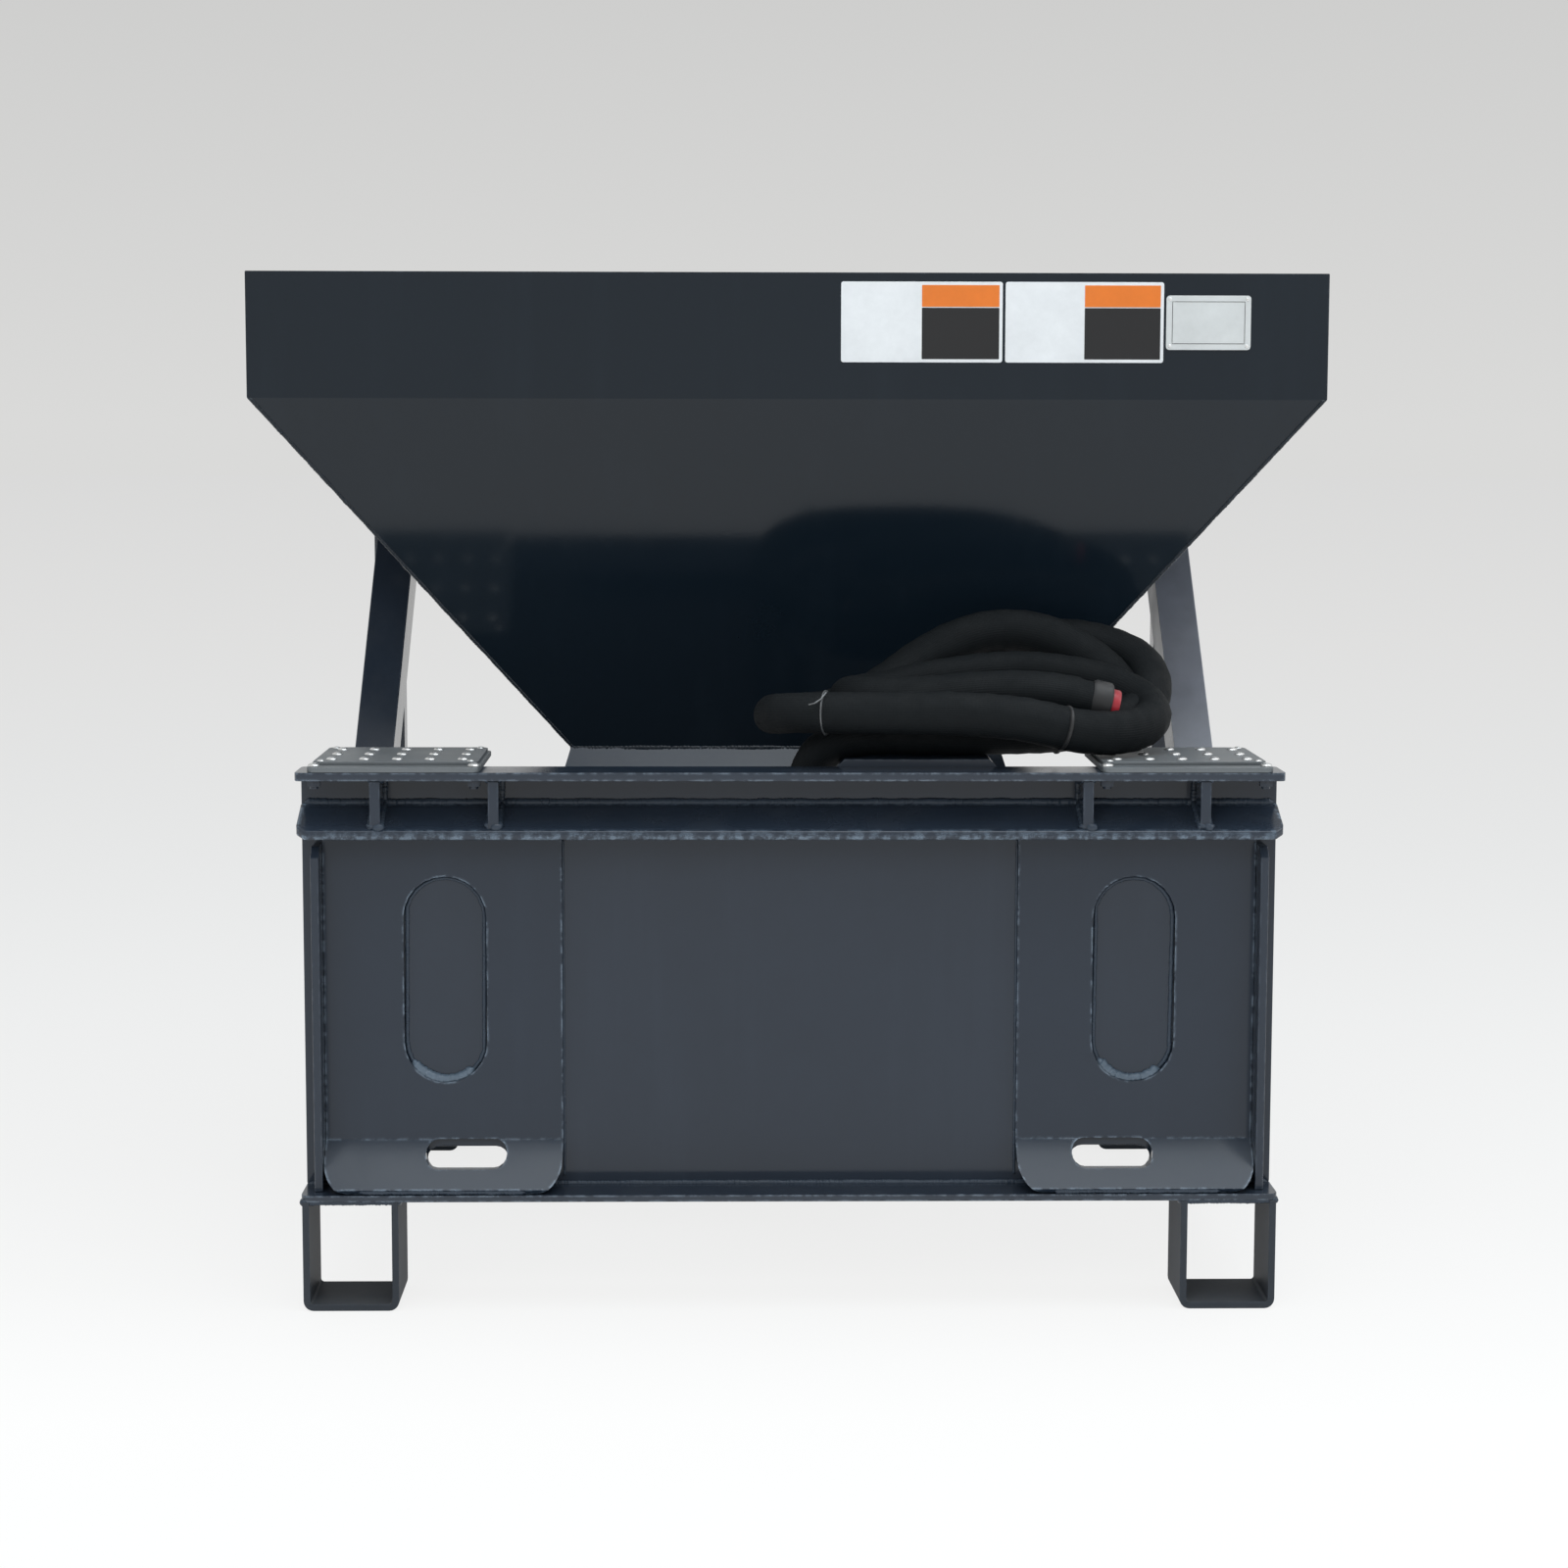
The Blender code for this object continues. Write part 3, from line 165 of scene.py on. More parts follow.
class Wires:
    """Places and joins shader nodes in one tree."""

    def __init__(self, tree):
        self.tree = tree

    def feed(self, socket, value):
        if isinstance(value, bpy.types.NodeSocket):
            self.tree.links.new(value, socket)
        elif hasattr(value, "__len__") and len(value) == 3 and socket.type == "RGBA":
            socket.default_value = (*value, 1)
        else:
            socket.default_value = value

    def node(self, kind, inputs=None, **settings):
        made = self.tree.nodes.new("ShaderNode" + kind)
        for key, value in settings.items():
            setattr(made, key, value)
        for key, value in (inputs or {}).items():
            self.feed(made.inputs[key], value)
        return made

    def math(self, operation, one, two=0.0, clamp=False):
        return self.node("Math", {0: one, 1: two}, operation=operation, use_clamp=clamp).outputs[0]

    def times(self, one, two, clamp=False):
        return self.math("MULTIPLY", one, two, clamp)

    def plus(self, one, two, clamp=False):
        return self.math("ADD", one, two, clamp)

    def minus(self, one, two):
        return self.math("SUBTRACT", one, two)

    def mix(self, share, one, two):
        """A colour between one and two."""
        return self.node("Mix", {0: share, 6: one, 7: two}, data_type="RGBA").outputs[2]

    def blend(self, share, one, two):
        """A number between one and two."""
        return self.node("Mix", {0: share, 2: one, 3: two}, data_type="FLOAT").outputs[0]

    def scale(self, tint, factor):
        """A colour times a number."""
        return self.node("VectorMath", {0: tint, "Scale": factor}, operation="SCALE").outputs[0]

    def place(self):
        return self.node("TexCoord").outputs["Object"]

    def noise(self, place, scale, detail=3.0, roughness=0.55):
        inputs = {"Vector": place, "Scale": scale, "Detail": detail, "Roughness": roughness}
        return self.node("TexNoise", inputs).outputs["Fac"]

    def step(self, value, low, high):
        """Goes from 0 at low to 1 at high, smoothly."""
        inputs = {"Value": value, "From Min": low, "From Max": high, "To Min": 0.0, "To Max": 1.0}
        return self.node("MapRange", inputs, interpolation_type="SMOOTHSTEP").outputs[0]


def new_group(name, inputs, outputs):
    """(tree, wires, the input sockets by name, the output node)."""
    tree = bpy.data.node_groups.new(name, "ShaderNodeTree")
    for label, default in inputs.items():
        socket = tree.interface.new_socket(label, in_out="INPUT", socket_type="NodeSocketFloat")
        socket.default_value = default
    for label in outputs:
        tree.interface.new_socket(label, in_out="OUTPUT", socket_type="NodeSocketFloat")
    given = tree.nodes.new("NodeGroupInput").outputs
    result = tree.nodes.new("NodeGroupOutput").inputs
    return tree, Wires(tree), given, result


def edge_wear_group():
    """Mask of worn, lighter paint along edges and corners, which on some finishes also carries a painted
    highlight.
    """
    tree, wires, given, result = new_group("Edge wear", {"Width": 0.003, "Break up": 60.0}, ["Mask"])
    rounded = wires.node("Bevel", {"Radius": given["Width"]}, samples=4).outputs[0]
    flat = wires.node("NewGeometry").outputs["Normal"]
    turn = wires.node("VectorMath", {0: rounded, 1: flat}, operation="DOT_PRODUCT").outputs["Value"]
    edge = wires.step(wires.minus(1.0, turn), 0.015, 0.16)
    chips = wires.noise(wires.place(), given["Break up"], 4.0, 0.65)
    wires.feed(result["Mask"], wires.times(edge, wires.step(chips, 0.42, 0.62)))
    return tree


def mottle_group():
    """Cloudy change of tone that sprayed paint shows, and streaks that run down."""
    tree, wires, given, result = new_group("Paint mottle", {"Scale": 3.0, "Amount": 0.1}, ["Tone", "Streak"])
    place = wires.place()
    broad = wires.noise(place, given["Scale"], 4.0, 0.6)
    fine = wires.noise(place, wires.times(given["Scale"], 9.0), 3.0, 0.6)
    both = wires.plus(wires.times(broad, 0.75), wires.times(fine, 0.25))
    shift = wires.times(wires.minus(both, 0.5), wires.times(given["Amount"], 4.0))
    wires.feed(result["Tone"], wires.plus(1.0, shift))
    tall = wires.node("Mapping", {"Vector": place, "Scale": (9.0, 9.0, 0.8)}).outputs[0]
    wires.feed(result["Streak"], wires.step(wires.noise(tall, 1.6, 4.0, 0.6), 0.5, 0.72))
    return tree


def dust_group():
    """Mask of pale dust that settles on faces that look up."""
    tree, wires, given, result = new_group("Dust film", {"Amount": 0.3, "Scale": 14.0}, ["Mask"])
    facing = wires.node("NewGeometry").outputs["Normal"]
    up = wires.node("SeparateXYZ", {0: facing}).outputs["Z"]
    lying = wires.step(up, 0.15, 0.95)
    patch = wires.step(wires.noise(wires.place(), given["Scale"], 5.0, 0.62), 0.35, 0.75)
    wires.feed(result["Mask"], wires.times(wires.times(lying, patch), given["Amount"], True))
    return tree


def grain_group():
    """Height of orange peel and of fine scratches, and the scratches as a mask."""
    inputs = {"Peel scale": 260.0, "Peel": 0.5, "Scratch scale": 6.0, "Scratch": 0.3}
    tree, wires, given, result = new_group("Surface grain", inputs, ["Height", "Scratches"])
    place = wires.place()
    peel = wires.times(wires.noise(place, given["Peel scale"], 2.0, 0.5), given["Peel"])
    lines = 0.0
    for turn in (0.4, 1.7, 2.6):
        stretch = {"Vector": place, "Rotation": (turn, turn, turn), "Scale": (1.0, 28.0, 1.0)}
        field = wires.noise(wires.node("Mapping", stretch).outputs[0], given["Scratch scale"], 3.0, 0.7)
        near = wires.math("ABSOLUTE", wires.minus(field, 0.5))
        thin = wires.minus(1.0, wires.step(near, 0.0, 0.006))
        rare = wires.step(wires.noise(place, 5.0 + turn, 2.0, 0.5), 0.52, 0.66)
        lines = wires.math("MAXIMUM", lines, wires.times(thin, rare))
    lines = wires.times(lines, given["Scratch"])
    wires.feed(result["Height"], wires.minus(peel, wires.times(lines, 0.6)))
    wires.feed(result["Scratches"], lines)
    return tree


def weave_group():
    """Woven sleeve: two crossing sets of strands, from the hose's own run and turn."""
    inputs = {"Along": 330.0, "Around": 26.0}
    tree, wires, given, result = new_group("Sleeve weave", inputs, ["Height", "Fuzz"])
    run = wires.node("SeparateXYZ", {0: wires.node("TexCoord").outputs["UV"]})
    along = wires.times(run.outputs["X"], given["Along"])
    around = wires.times(run.outputs["Y"], given["Around"])
    left = wires.math("SINE", wires.times(wires.plus(along, around), math.tau))
    right = wires.math("SINE", wires.times(wires.minus(along, around), math.tau))
    crossed = wires.times(left, right)
    wires.feed(result["Height"], wires.plus(wires.times(crossed, 0.5), 0.5))
    wires.feed(result["Fuzz"], wires.step(wires.noise(wires.place(), 38.0, 5.0, 0.68), 0.4, 0.75))
    return tree


def spangle_group():
    """Patchy crystals of zinc plate."""
    tree, wires, given, result = new_group("Zinc spangle", {"Scale": 160.0}, ["Tone", "Rough"])
    place = wires.place()
    cells = wires.node("TexVoronoi", {"Vector": place, "Scale": given["Scale"]}).outputs["Color"]
    level = wires.node("SeparateXYZ", {0: cells}).outputs["X"]
    wires.feed(result["Tone"], wires.blend(level, 0.72, 1.12))
    wires.feed(result["Rough"], wires.blend(level, 0.22, 0.45))
    return tree


GROUP_MAKERS = {
    "Edge wear": edge_wear_group,
    "Paint mottle": mottle_group,
    "Dust film": dust_group,
    "Surface grain": grain_group,
    "Sleeve weave": weave_group,
    "Zinc spangle": spangle_group,
}


def use_group(wires, name, **values):
    """Places a shared effect in a material, building it the first time. Returns its outputs."""
    tree = bpy.data.node_groups.get(name) or GROUP_MAKERS[name]()
    placed = wires.node("Group", node_tree=tree)
    for key, value in values.items():
        wires.feed(placed.inputs[key.replace("_", " ")], value)
    return placed.outputs


def new_material(name):
    """(material, wires, its Principled shader)."""
    material = bpy.data.materials.new(name)
    material.use_nodes = True
    wires = Wires(material.node_tree)
    shader = material.node_tree.nodes["Principled BSDF"]
    return material, wires, shader


def add_bump(wires, shader, height, distance, strength=1.0):
    bump = wires.node("Bump", {"Height": height, "Distance": distance, "Strength": strength})
    wires.feed(shader.inputs["Normal"], bump.outputs[0])


def paint(name, tint, worn_and_lit_tint, roughness, mottle, wear, wear_and_sheen_share, dust, peel, scratch, gloss):
    """Sprayed paint over steel: cloudy tone, lighter worn edges (on some finishes partly a painted highlight),
    dust on top and a little orange peel.
    """
    material, wires, shader = new_material(name)
    clouds = use_group(wires, "Paint mottle", Scale=3.2, Amount=mottle)
    edges = use_group(wires, "Edge wear", Width=wear, Break_up=70.0)["Mask"]
    settled = use_group(wires, "Dust film", Amount=dust, Scale=16.0)["Mask"]
    grain = use_group(wires, "Surface grain", Peel_scale=300.0, Peel=peel, Scratch_scale=5.0, Scratch=scratch)
    base = wires.scale(tuple(tint), clouds["Tone"])
    base = wires.mix(wires.times(clouds["Streak"], 0.16), base, tuple(c * 1.5 + 0.004 for c in tint))
    base = wires.mix(wires.times(edges, wear_and_sheen_share), base, worn_and_lit_tint)
    base = wires.mix(wires.times(grain["Scratches"], 0.6), base, worn_and_lit_tint)
    base = wires.mix(settled, base, (0.17, 0.165, 0.155))
    wires.feed(shader.inputs["Base Color"], base)
    rough = wires.plus(roughness, wires.times(wires.minus(clouds["Tone"], 1.0), 0.35))
    rough = wires.blend(settled, rough, 0.85)
    rough = wires.blend(wires.times(clouds["Streak"], 0.06), rough, 0.6)
    wires.feed(shader.inputs["Roughness"], rough)
    shader.inputs["IOR"].default_value = gloss
    add_bump(wires, shader, grain["Height"], 0.00025)
    return material


def bare_metal(name, tint, roughness, metallic=0.9, spangle=0.0, dust=0.1, painted_below=None):
    """Bright or dull bare metal with rubbed edges."""
    material, wires, shader = new_material(name)
    clouds = use_group(wires, "Paint mottle", Scale=12.0, Amount=0.12)
    edges = use_group(wires, "Edge wear", Width=0.0015, Break_up=150.0)["Mask"]
    settled = use_group(wires, "Dust film", Amount=dust, Scale=30.0)["Mask"]
    grain = use_group(wires, "Surface grain", Peel_scale=700.0, Peel=0.7, Scratch_scale=18.0, Scratch=0.6)
    base = wires.scale(tuple(tint), clouds["Tone"])
    rough = wires.plus(roughness, wires.times(wires.minus(clouds["Tone"], 1.0), 0.6))
    if spangle:
        crystals = use_group(wires, "Zinc spangle", Scale=spangle)
        base = wires.scale(base, crystals["Tone"])
        rough = wires.times(wires.plus(rough, crystals["Rough"]), 0.6)
    base = wires.mix(wires.times(edges, 0.5), base, tuple(min(1.0, c * 1.6) for c in tint))
    base = wires.mix(settled, base, (0.16, 0.15, 0.14))
    shader.inputs["Metallic"].default_value = metallic
    if painted_below:
        height = wires.node("SeparateXYZ", {0: wires.place()}).outputs["Z"]
        bare = wires.step(height, painted_below - 0.001, painted_below + 0.001)
        base = wires.mix(bare, tuple(colours().frame_paint), base)
        wires.feed(shader.inputs["Metallic"], wires.times(bare, metallic))
    wires.feed(shader.inputs["Base Color"], base)
    wires.feed(shader.inputs["Roughness"], rough)
    add_bump(wires, shader, grain["Height"], 0.00012)
    return material


def moulded(name, tint, roughness, peel=0.5):
    """Moulded plastic or rubber with faint grain and scuffs."""
    material, wires, shader = new_material(name)
    clouds = use_group(wires, "Paint mottle", Scale=14.0, Amount=0.1)
    edges = use_group(wires, "Edge wear", Width=0.0015, Break_up=180.0)["Mask"]
    settled = use_group(wires, "Dust film", Amount=0.2, Scale=40.0)["Mask"]
    grain = use_group(wires, "Surface grain", Peel_scale=900.0, Peel=peel, Scratch_scale=20.0, Scratch=0.3)
    base = wires.scale(tuple(tint), clouds["Tone"])
    base = wires.mix(wires.times(edges, 0.35), base, tuple(min(1.0, c * 1.5 + 0.02) for c in tint))
    base = wires.mix(settled, base, (0.18, 0.17, 0.16))
    wires.feed(shader.inputs["Base Color"], base)
    wires.feed(shader.inputs["Roughness"], wires.blend(settled, roughness, 0.85))
    add_bump(wires, shader, grain["Height"], 0.0001)
    return material


def woven_sleeve(name, tint):
    """Black woven textile over the hoses, with dusty fuzz on its upper side."""
    material, wires, shader = new_material(name)
    weave = use_group(wires, "Sleeve weave", Along=330.0, Around=26.0)
    clouds = use_group(wires, "Paint mottle", Scale=9.0, Amount=0.16)
    settled = use_group(wires, "Dust film", Amount=0.35, Scale=22.0)["Mask"]
    base = wires.scale(tuple(tint), clouds["Tone"])
    base = wires.mix(wires.times(weave["Height"], 0.35), base, tuple(c * 2.0 for c in tint))
    base = wires.mix(wires.times(settled, 0.25), base, (0.040, 0.040, 0.038))
    base = wires.mix(wires.times(weave["Fuzz"], 0.04), base, (0.040, 0.040, 0.038))
    shader.inputs["Specular IOR Level"].default_value = 0.16
    wires.feed(shader.inputs["Base Color"], base)
    wires.feed(shader.inputs["Roughness"], wires.blend(weave["Fuzz"], 0.62, 0.82))
    add_bump(wires, shader, weave["Height"], 0.0004)
    return material


WORN = (0.105, 0.130, 0.165)

# name: (tint or the colour property that holds it, worn tint, roughness, mottle, wear, wear share, dust,
# peel, scratch, gloss)
# On the lip, hook, rubbed and brace finishes, the worn tint, wear and wear share also paint a highlight or a
# reflection along the edges.
PAINTS = {
    "frame paint": ("frame_paint", WORN, 0.17, 0.10, 0.004, 0.6, 0.12, 0.10, 0.0, 1.45),
    "hopper paint": ("hopper_paint", WORN, 0.105, 0.05, 0.003, 0.45, 0.06, 0.08, 0.0, 1.42),
    "panel paint": ("frame_paint", WORN, 0.10, 0.10, 0.003, 0.3, 0.08, 0.10, 0.0, 1.45),
    # Lip plates: lighter bluish worn edges, partly wear and partly a painted reflection of the sky.
    "lip paint": ("frame_paint", (0.22, 0.28, 0.35), 0.13, 0.10, 0.005, 0.8, 0.04, 0.10, 0.0, 1.42),
    # Hook plate: the wide pale blue band along its edges is a painted reflection of the sky, with some edge
    # wear.
    "hook paint": ("frame_paint", (0.26, 0.34, 0.43), 0.15, 0.12, 0.011, 1.0, 0.04, 0.10, 0.0, 1.5),
    # Base plate and top flange: lighter bluish worn edges, partly wear and partly a painted highlight.
    "rubbed paint": ("frame_paint", (0.22, 0.27, 0.33), 0.17, 0.10, 0.005, 0.8, 0.06, 0.10, 0.0, 1.5),
    "foot paint": ((0.045, 0.050, 0.058), WORN, 0.50, 0.15, 0.003, 0.3, 0.15, 0.2, 0.0, 1.12),
    # Right brace: paint far lighter than the frame's, a painted highlight, with scuffed edges.
    "scuffed paint": ((0.150, 0.160, 0.190), (0.3, 0.33, 0.36), 0.30, 0.40, 0.004, 0.6, 0.2, 0.2, 0.0, 1.6),
    "bead paint": ((0.030, 0.042, 0.060), (0.20, 0.24, 0.29), 0.24, 0.30, 0.002, 0.35, 0.1, 0.4, 0.0, 1.4),
    # Lower arcs of the oval welds: lighter than the other beads, a painted highlight where the bead faces up.
    "light bead": ((0.085, 0.115, 0.150), (0.26, 0.32, 0.38), 0.22, 0.30, 0.002, 0.8, 0.0, 0.4, 0.0, 1.5),
    "cast iron": ((0.028, 0.029, 0.031), (0.12, 0.11, 0.10), 0.6, 0.2, 0.003, 0.5, 0.3, 2.0, 0.1, 1.5),
}

# name: (tint, roughness, metallic, other settings)
METALS = {
    "step steel": ("step_paint", 0.42, 0.35, {"dust": 0.25}),
    "bright steel": ((0.80, 0.80, 0.79), 0.28, 0.85, {"dust": 0.0}),
    "step bolt": ((0.80, 0.80, 0.79), 0.28, 0.85, {"dust": 0.0, "painted_below": 0.640}),
    "zinc plate": ((0.55, 0.55, 0.53), 0.3, 0.9, {"spangle": 160.0}),
    "aluminium": ((0.62, 0.64, 0.64), 0.45, 0.35, {"dust": 0.0}),
    "tie wire": ((0.15, 0.155, 0.16), 0.45, 0.6, {"dust": 0.0}),
}

# name: (tint, roughness, peel)
MOULDINGS = {
    "black rubber": ((0.014, 0.014, 0.015), 0.55, 0.5),
    "red plastic": ("cap", 0.35, 0.5),
    "white film": ((0.70, 0.71, 0.72), 0.35, 0.1),
    "orange film": ((0.70, 0.17, 0.018), 0.35, 0.1),
    "dark film": ((0.010, 0.010, 0.011), 0.35, 0.1),
}

MATERIALS = {}


def colour_of(shade):
    """A tint, from the colour property of this name or as it is given."""
    return getattr(colours(), shade) if isinstance(shade, str) else shade


def stuff(name):
    """A finish by name, made once."""
    if name in MATERIALS:
        return MATERIALS[name]
    if name in PAINTS:
        shade, *values = PAINTS[name]
        made = paint(name, colour_of(shade), *values)
    elif name in METALS:
        shade, roughness, metallic, settings = METALS[name]
        made = bare_metal(name, colour_of(shade), roughness, metallic, **settings)
    elif name in MOULDINGS:
        shade, *values = MOULDINGS[name]
        made = moulded(name, colour_of(shade), *values)
    elif name == "woven sleeve":
        made = woven_sleeve(name, colours().sleeve)
    else:
        raise KeyError(name)
    MATERIALS[name] = made
    return made


SLOT_FINISH = {
    "slate_paint": "frame paint",
    "step_steel": "step steel",
    "zinc_plate": "zinc plate",
    "cast_iron": "cast iron",
    "black_rubber": "black rubber",
    "woven_sleeve": "woven sleeve",
    "coloured_plastic": "red plastic",
}


# ---------------------------------------------------------------- mesh helpers


def settle(name, bm, finish, body="frame", sharp=40.0):
    """Turns finished mesh code into a piece that rides on a body."""
    bmesh.ops.recalc_face_normals(bm, faces=bm.faces)
    mesh = bpy.data.meshes.new(name)
    bm.to_mesh(mesh)
    bm.free()
    mesh.polygons.foreach_set("use_smooth", [True] * len(mesh.polygons))
    mesh.set_sharp_from_angle(angle=math.radians(sharp))
    piece = bpy.data.objects.new(name, mesh)
    bpy.context.scene.collection.objects.link(piece)
    mesh.materials.append(stuff(finish))
    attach(piece, body)
    return piece


def aim(axis):
    """Turns +Z onto this direction."""
    return Vector(axis).to_track_quat("Z", "Y").to_matrix().to_4x4()


def turned(bm, profile, base, axis=(0, 0, 1), sides=24, first_turn=0.0):
    """A lathed shape: profile is (radius, height) from bottom to top, standing on base along axis."""
    place = Matrix.Translation(base) @ aim(axis)
    rings = []
    for radius, height in profile:
        if radius < 1e-6:
            rings.append([bm.verts.new(place @ Vector((0, 0, height)))])
            continue
        angles = [first_turn + math.tau * k / sides for k in range(sides)]
        spots = [Vector((radius * math.cos(a), radius * math.sin(a), height)) for a in angles]
        rings.append([bm.verts.new(place @ spot) for spot in spots])
    join_rings(bm, rings)


def join_rings(bm, rings):
    for low, high in zip(rings, rings[1:]):
        count = max(len(low), len(high))
        for k in range(count):
            after = (k + 1) % count
            corners = [low[k % len(low)], low[after % len(low)], high[after % len(high)], high[k % len(high)]]
            distinct = list(dict.fromkeys(corners))
            if len(distinct) > 2:
                bm.faces.new(distinct)
    for end in (rings[0], rings[-1]):
        if len(end) > 2:
            bm.faces.new(end)


def dome(bm, base, axis, radius, rise, sides=20, skirt=0.0004):
    """A raised dome with a small fillet at its foot."""
    profile = [(radius * 1.10, -skirt), (radius * 1.04, 0.12 * rise)]
    for k in range(1, 6):
        angle = math.pi / 2 * k / 5
        profile.append((radius * math.cos(angle) if k < 5 else 0.0, rise * (0.15 + 0.85 * math.sin(angle))))
    turned(bm, profile, base, axis, sides)


def hex_bolt(bm, base, axis, width, washer=True):
    """A washer and a hexagon head with chamfered corners and a raised face."""
    seat = 0.0
    if washer:
        seat = width * 0.13
        turned(bm, [(width * 1.02, 0.0), (width * 1.05, seat * 0.4), (width * 1.0, seat)], base, axis, 28)
    corner = width * 0.577
    head = width * 0.62
    top = seat + head
    profile = [(corner, seat), (corner, seat + head * 0.84), (corner * 0.88, top), (corner * 0.5, top)]
    turned(bm, profile, base, axis, 6, 0.3)


def even_line(points, spacing):
    """The same line with points evenly spaced along it."""
    line = [Vector(points[0])]
    for one, two in zip(points, points[1:]):
        one, two = Vector(one), Vector(two)
        steps = max(1, round((two - one).length / spacing))
        line += [one.lerp(two, k / steps) for k in range(1, steps + 1)]
    return line


def swept(bm, line, radius_at, sides=8, closed=False):
    """A tube along a line, carried on without twist. radius_at(k, side) gives its radius at a point."""
    count = len(line)
    first = (line[1] - line[0]).normalized()
    across = first.orthogonal().normalized()
    rings = []
    for k, point in enumerate(line):
        before, after = line[max(0, k - 1)], line[min(count - 1, k + 1)]
        if closed:
            before, after = line[k - 1], line[(k + 1) % count]
        ahead = (after - before).normalized()
        across = (across - ahead * across.dot(ahead)).normalized()
        upward = ahead.cross(across)
        ring = []
        for side in range(sides):
            angle = math.tau * side / sides
            out = across * math.cos(angle) + upward * math.sin(angle)
            ring.append(bm.verts.new(point + out * radius_at(k, side)))
        rings.append(ring)
    if closed:
        for low, high in zip(rings, rings[1:] + rings[:1]):
            for side in range(sides):
                after = (side + 1) % sides
                bm.faces.new((low[side], low[after], high[after], high[side]))
    else:
        join_rings(bm, rings)


def bead(bm, points, radius, seed, closed=False, lumps=0.16):
    """A weld bead: overlapping ripples with uneven width, and a drop here and there."""
    chance = random.Random(seed)
    pitch = radius * 1.1
    corners = list(points) + ([points[0]] if closed else [])
    line = even_line(corners, pitch / 3)
    if closed:
        line = line[:-1]
    count = len(line)
    drift = [chance.uniform(-1, 1) for _ in range(count // 9 + 3)]

    def radius_at(k, side):
        place = k / 9
        low = int(place)
        slow = drift[low] + (drift[low + 1] - drift[low]) * (place - low)
        ripple = 0.10 * (1 - ((k % 3) / 3) * 2)
        taper = 1.0 if closed else min(1.0, 0.35 + 0.25 * min(k, count - 1 - k))
        return radius * taper * (1 + ripple + lumps * slow)

    shaken = [p + Vector([chance.uniform(-1, 1) * radius * 0.10 for _ in range(3)]) for p in line]
    swept(bm, shaken, radius_at, 7, closed)


def blob(bm, centre, radius, seed, flatten=0.75):
    """A lump of weld metal."""
    chance = random.Random(seed)
    made = bmesh.ops.create_icosphere(bm, subdivisions=2, radius=radius)["verts"]
    waves = [(Vector([chance.uniform(-1, 1) for _ in range(3)]), chance.uniform(0.08, 0.2)) for _ in range(4)]
    for vertex in made:
        swell = 1 + sum(size * math.sin(3 * wave.dot(vertex.co / radius) + 2) for wave, size in waves)
        vertex.co = Vector((vertex.co.x, vertex.co.y, vertex.co.z * flatten)) * swell + Vector(centre)


def rounded_panel(bm, low, high, corner, steps=5):
    """A thin panel that faces -Y, with rounded corners and a softened front edge."""
    low, high = Vector(low), Vector(high)
    rings = []
    for y, inset in ((high.y, 0.0), (low.y + 0.0003, 0.0), (low.y, 0.0003)):
        ring = []
        for cx, cz, start in ((1, 1, 0.0), (0, 1, 0.25), (0, 0, 0.5), (1, 0, 0.75)):
            centre_x = high.x - corner if cx else low.x + corner
            centre_z = high.z - corner if cz else low.z + corner
            for k in range(steps + 1):
                angle = math.tau * (start + 0.25 * k / steps)
                reach = corner - inset
                x = centre_x + reach * math.cos(angle)
                z = centre_z + reach * math.sin(angle)
                ring.append(bm.verts.new((x, y, z)))
        rings.append(ring)
    join_rings(bm, rings)


# ---------------------------------------------------------------- stage

CAMERA_SPOT = (-0.0764, -4.217, 1.0538)
CAMERA_PAN = 0.0182
CAMERA_TILT = 0.1126
CAMERA_ROLL = 0.0020
CAMERA_LENS = 73.125
FLOOR_REACH = 60.0

# The backdrop's grey at the horizon, how fast it darkens upwards, and the power that turns a grey into light.
HORIZON_GREY = 217 / 255
BACKDROP_FALL = 0.36
LIGHT_POWER = 2.2
# Room light on the part from low down and from above.
ROOM_LOW = 0.30
ROOM_HIGH = 0.85
# The floor's glow: how much it brightens towards the camera, the brightest it gets, how near counts as
# nearest, and how far out it starts to change on the sides.
FLOOR_GAIN = 0.478
FLOOR_BRIGHTEST = 1.02
FLOOR_NEAREST = 3.3
FLOOR_RIM = 10.2
# Round the part the floor is a little brighter, and keeps some of its own shade for the shadow.
NEAR_GAIN = 1.015
NEAR_SHARE = 0.86

# (name, place, target, width, depth, radiance, tint, shown in gloss)
LAMPS = (
    ("overhead softbox", (0.8, -0.7, 4.0), (0.4, -0.2, 0.6), 3.4, 2.8, 2.4, (0.86, 0.94, 1.0), True),
    ("front fill", (-0.6, -4.4, 2.6), (0, -0.3, 0.6), 3.4, 2.2, 3.3, (1.0, 0.99, 0.97), False),
    ("right rim light", (3.2, -0.9, 2.2), (0.3, -0.2, 0.8), 1.4, 2.0, 1.8, (0.92, 0.96, 1.0), True),
)


def place_camera():
    lens = bpy.data.cameras.new("camera")
    lens.lens = CAMERA_LENS
    lens.sensor_width = 36.0
    camera = bpy.data.objects.new("camera", lens)
    facing = Matrix.Rotation(-CAMERA_PAN, 4, "Z") @ Matrix.Rotation(math.pi / 2 - CAMERA_TILT, 4, "X")
    camera.matrix_world = Matrix.Translation(CAMERA_SPOT) @ facing @ Matrix.Rotation(CAMERA_ROLL, 4, "Z")
    bpy.context.scene.collection.objects.link(camera)
    bpy.context.scene.camera = camera


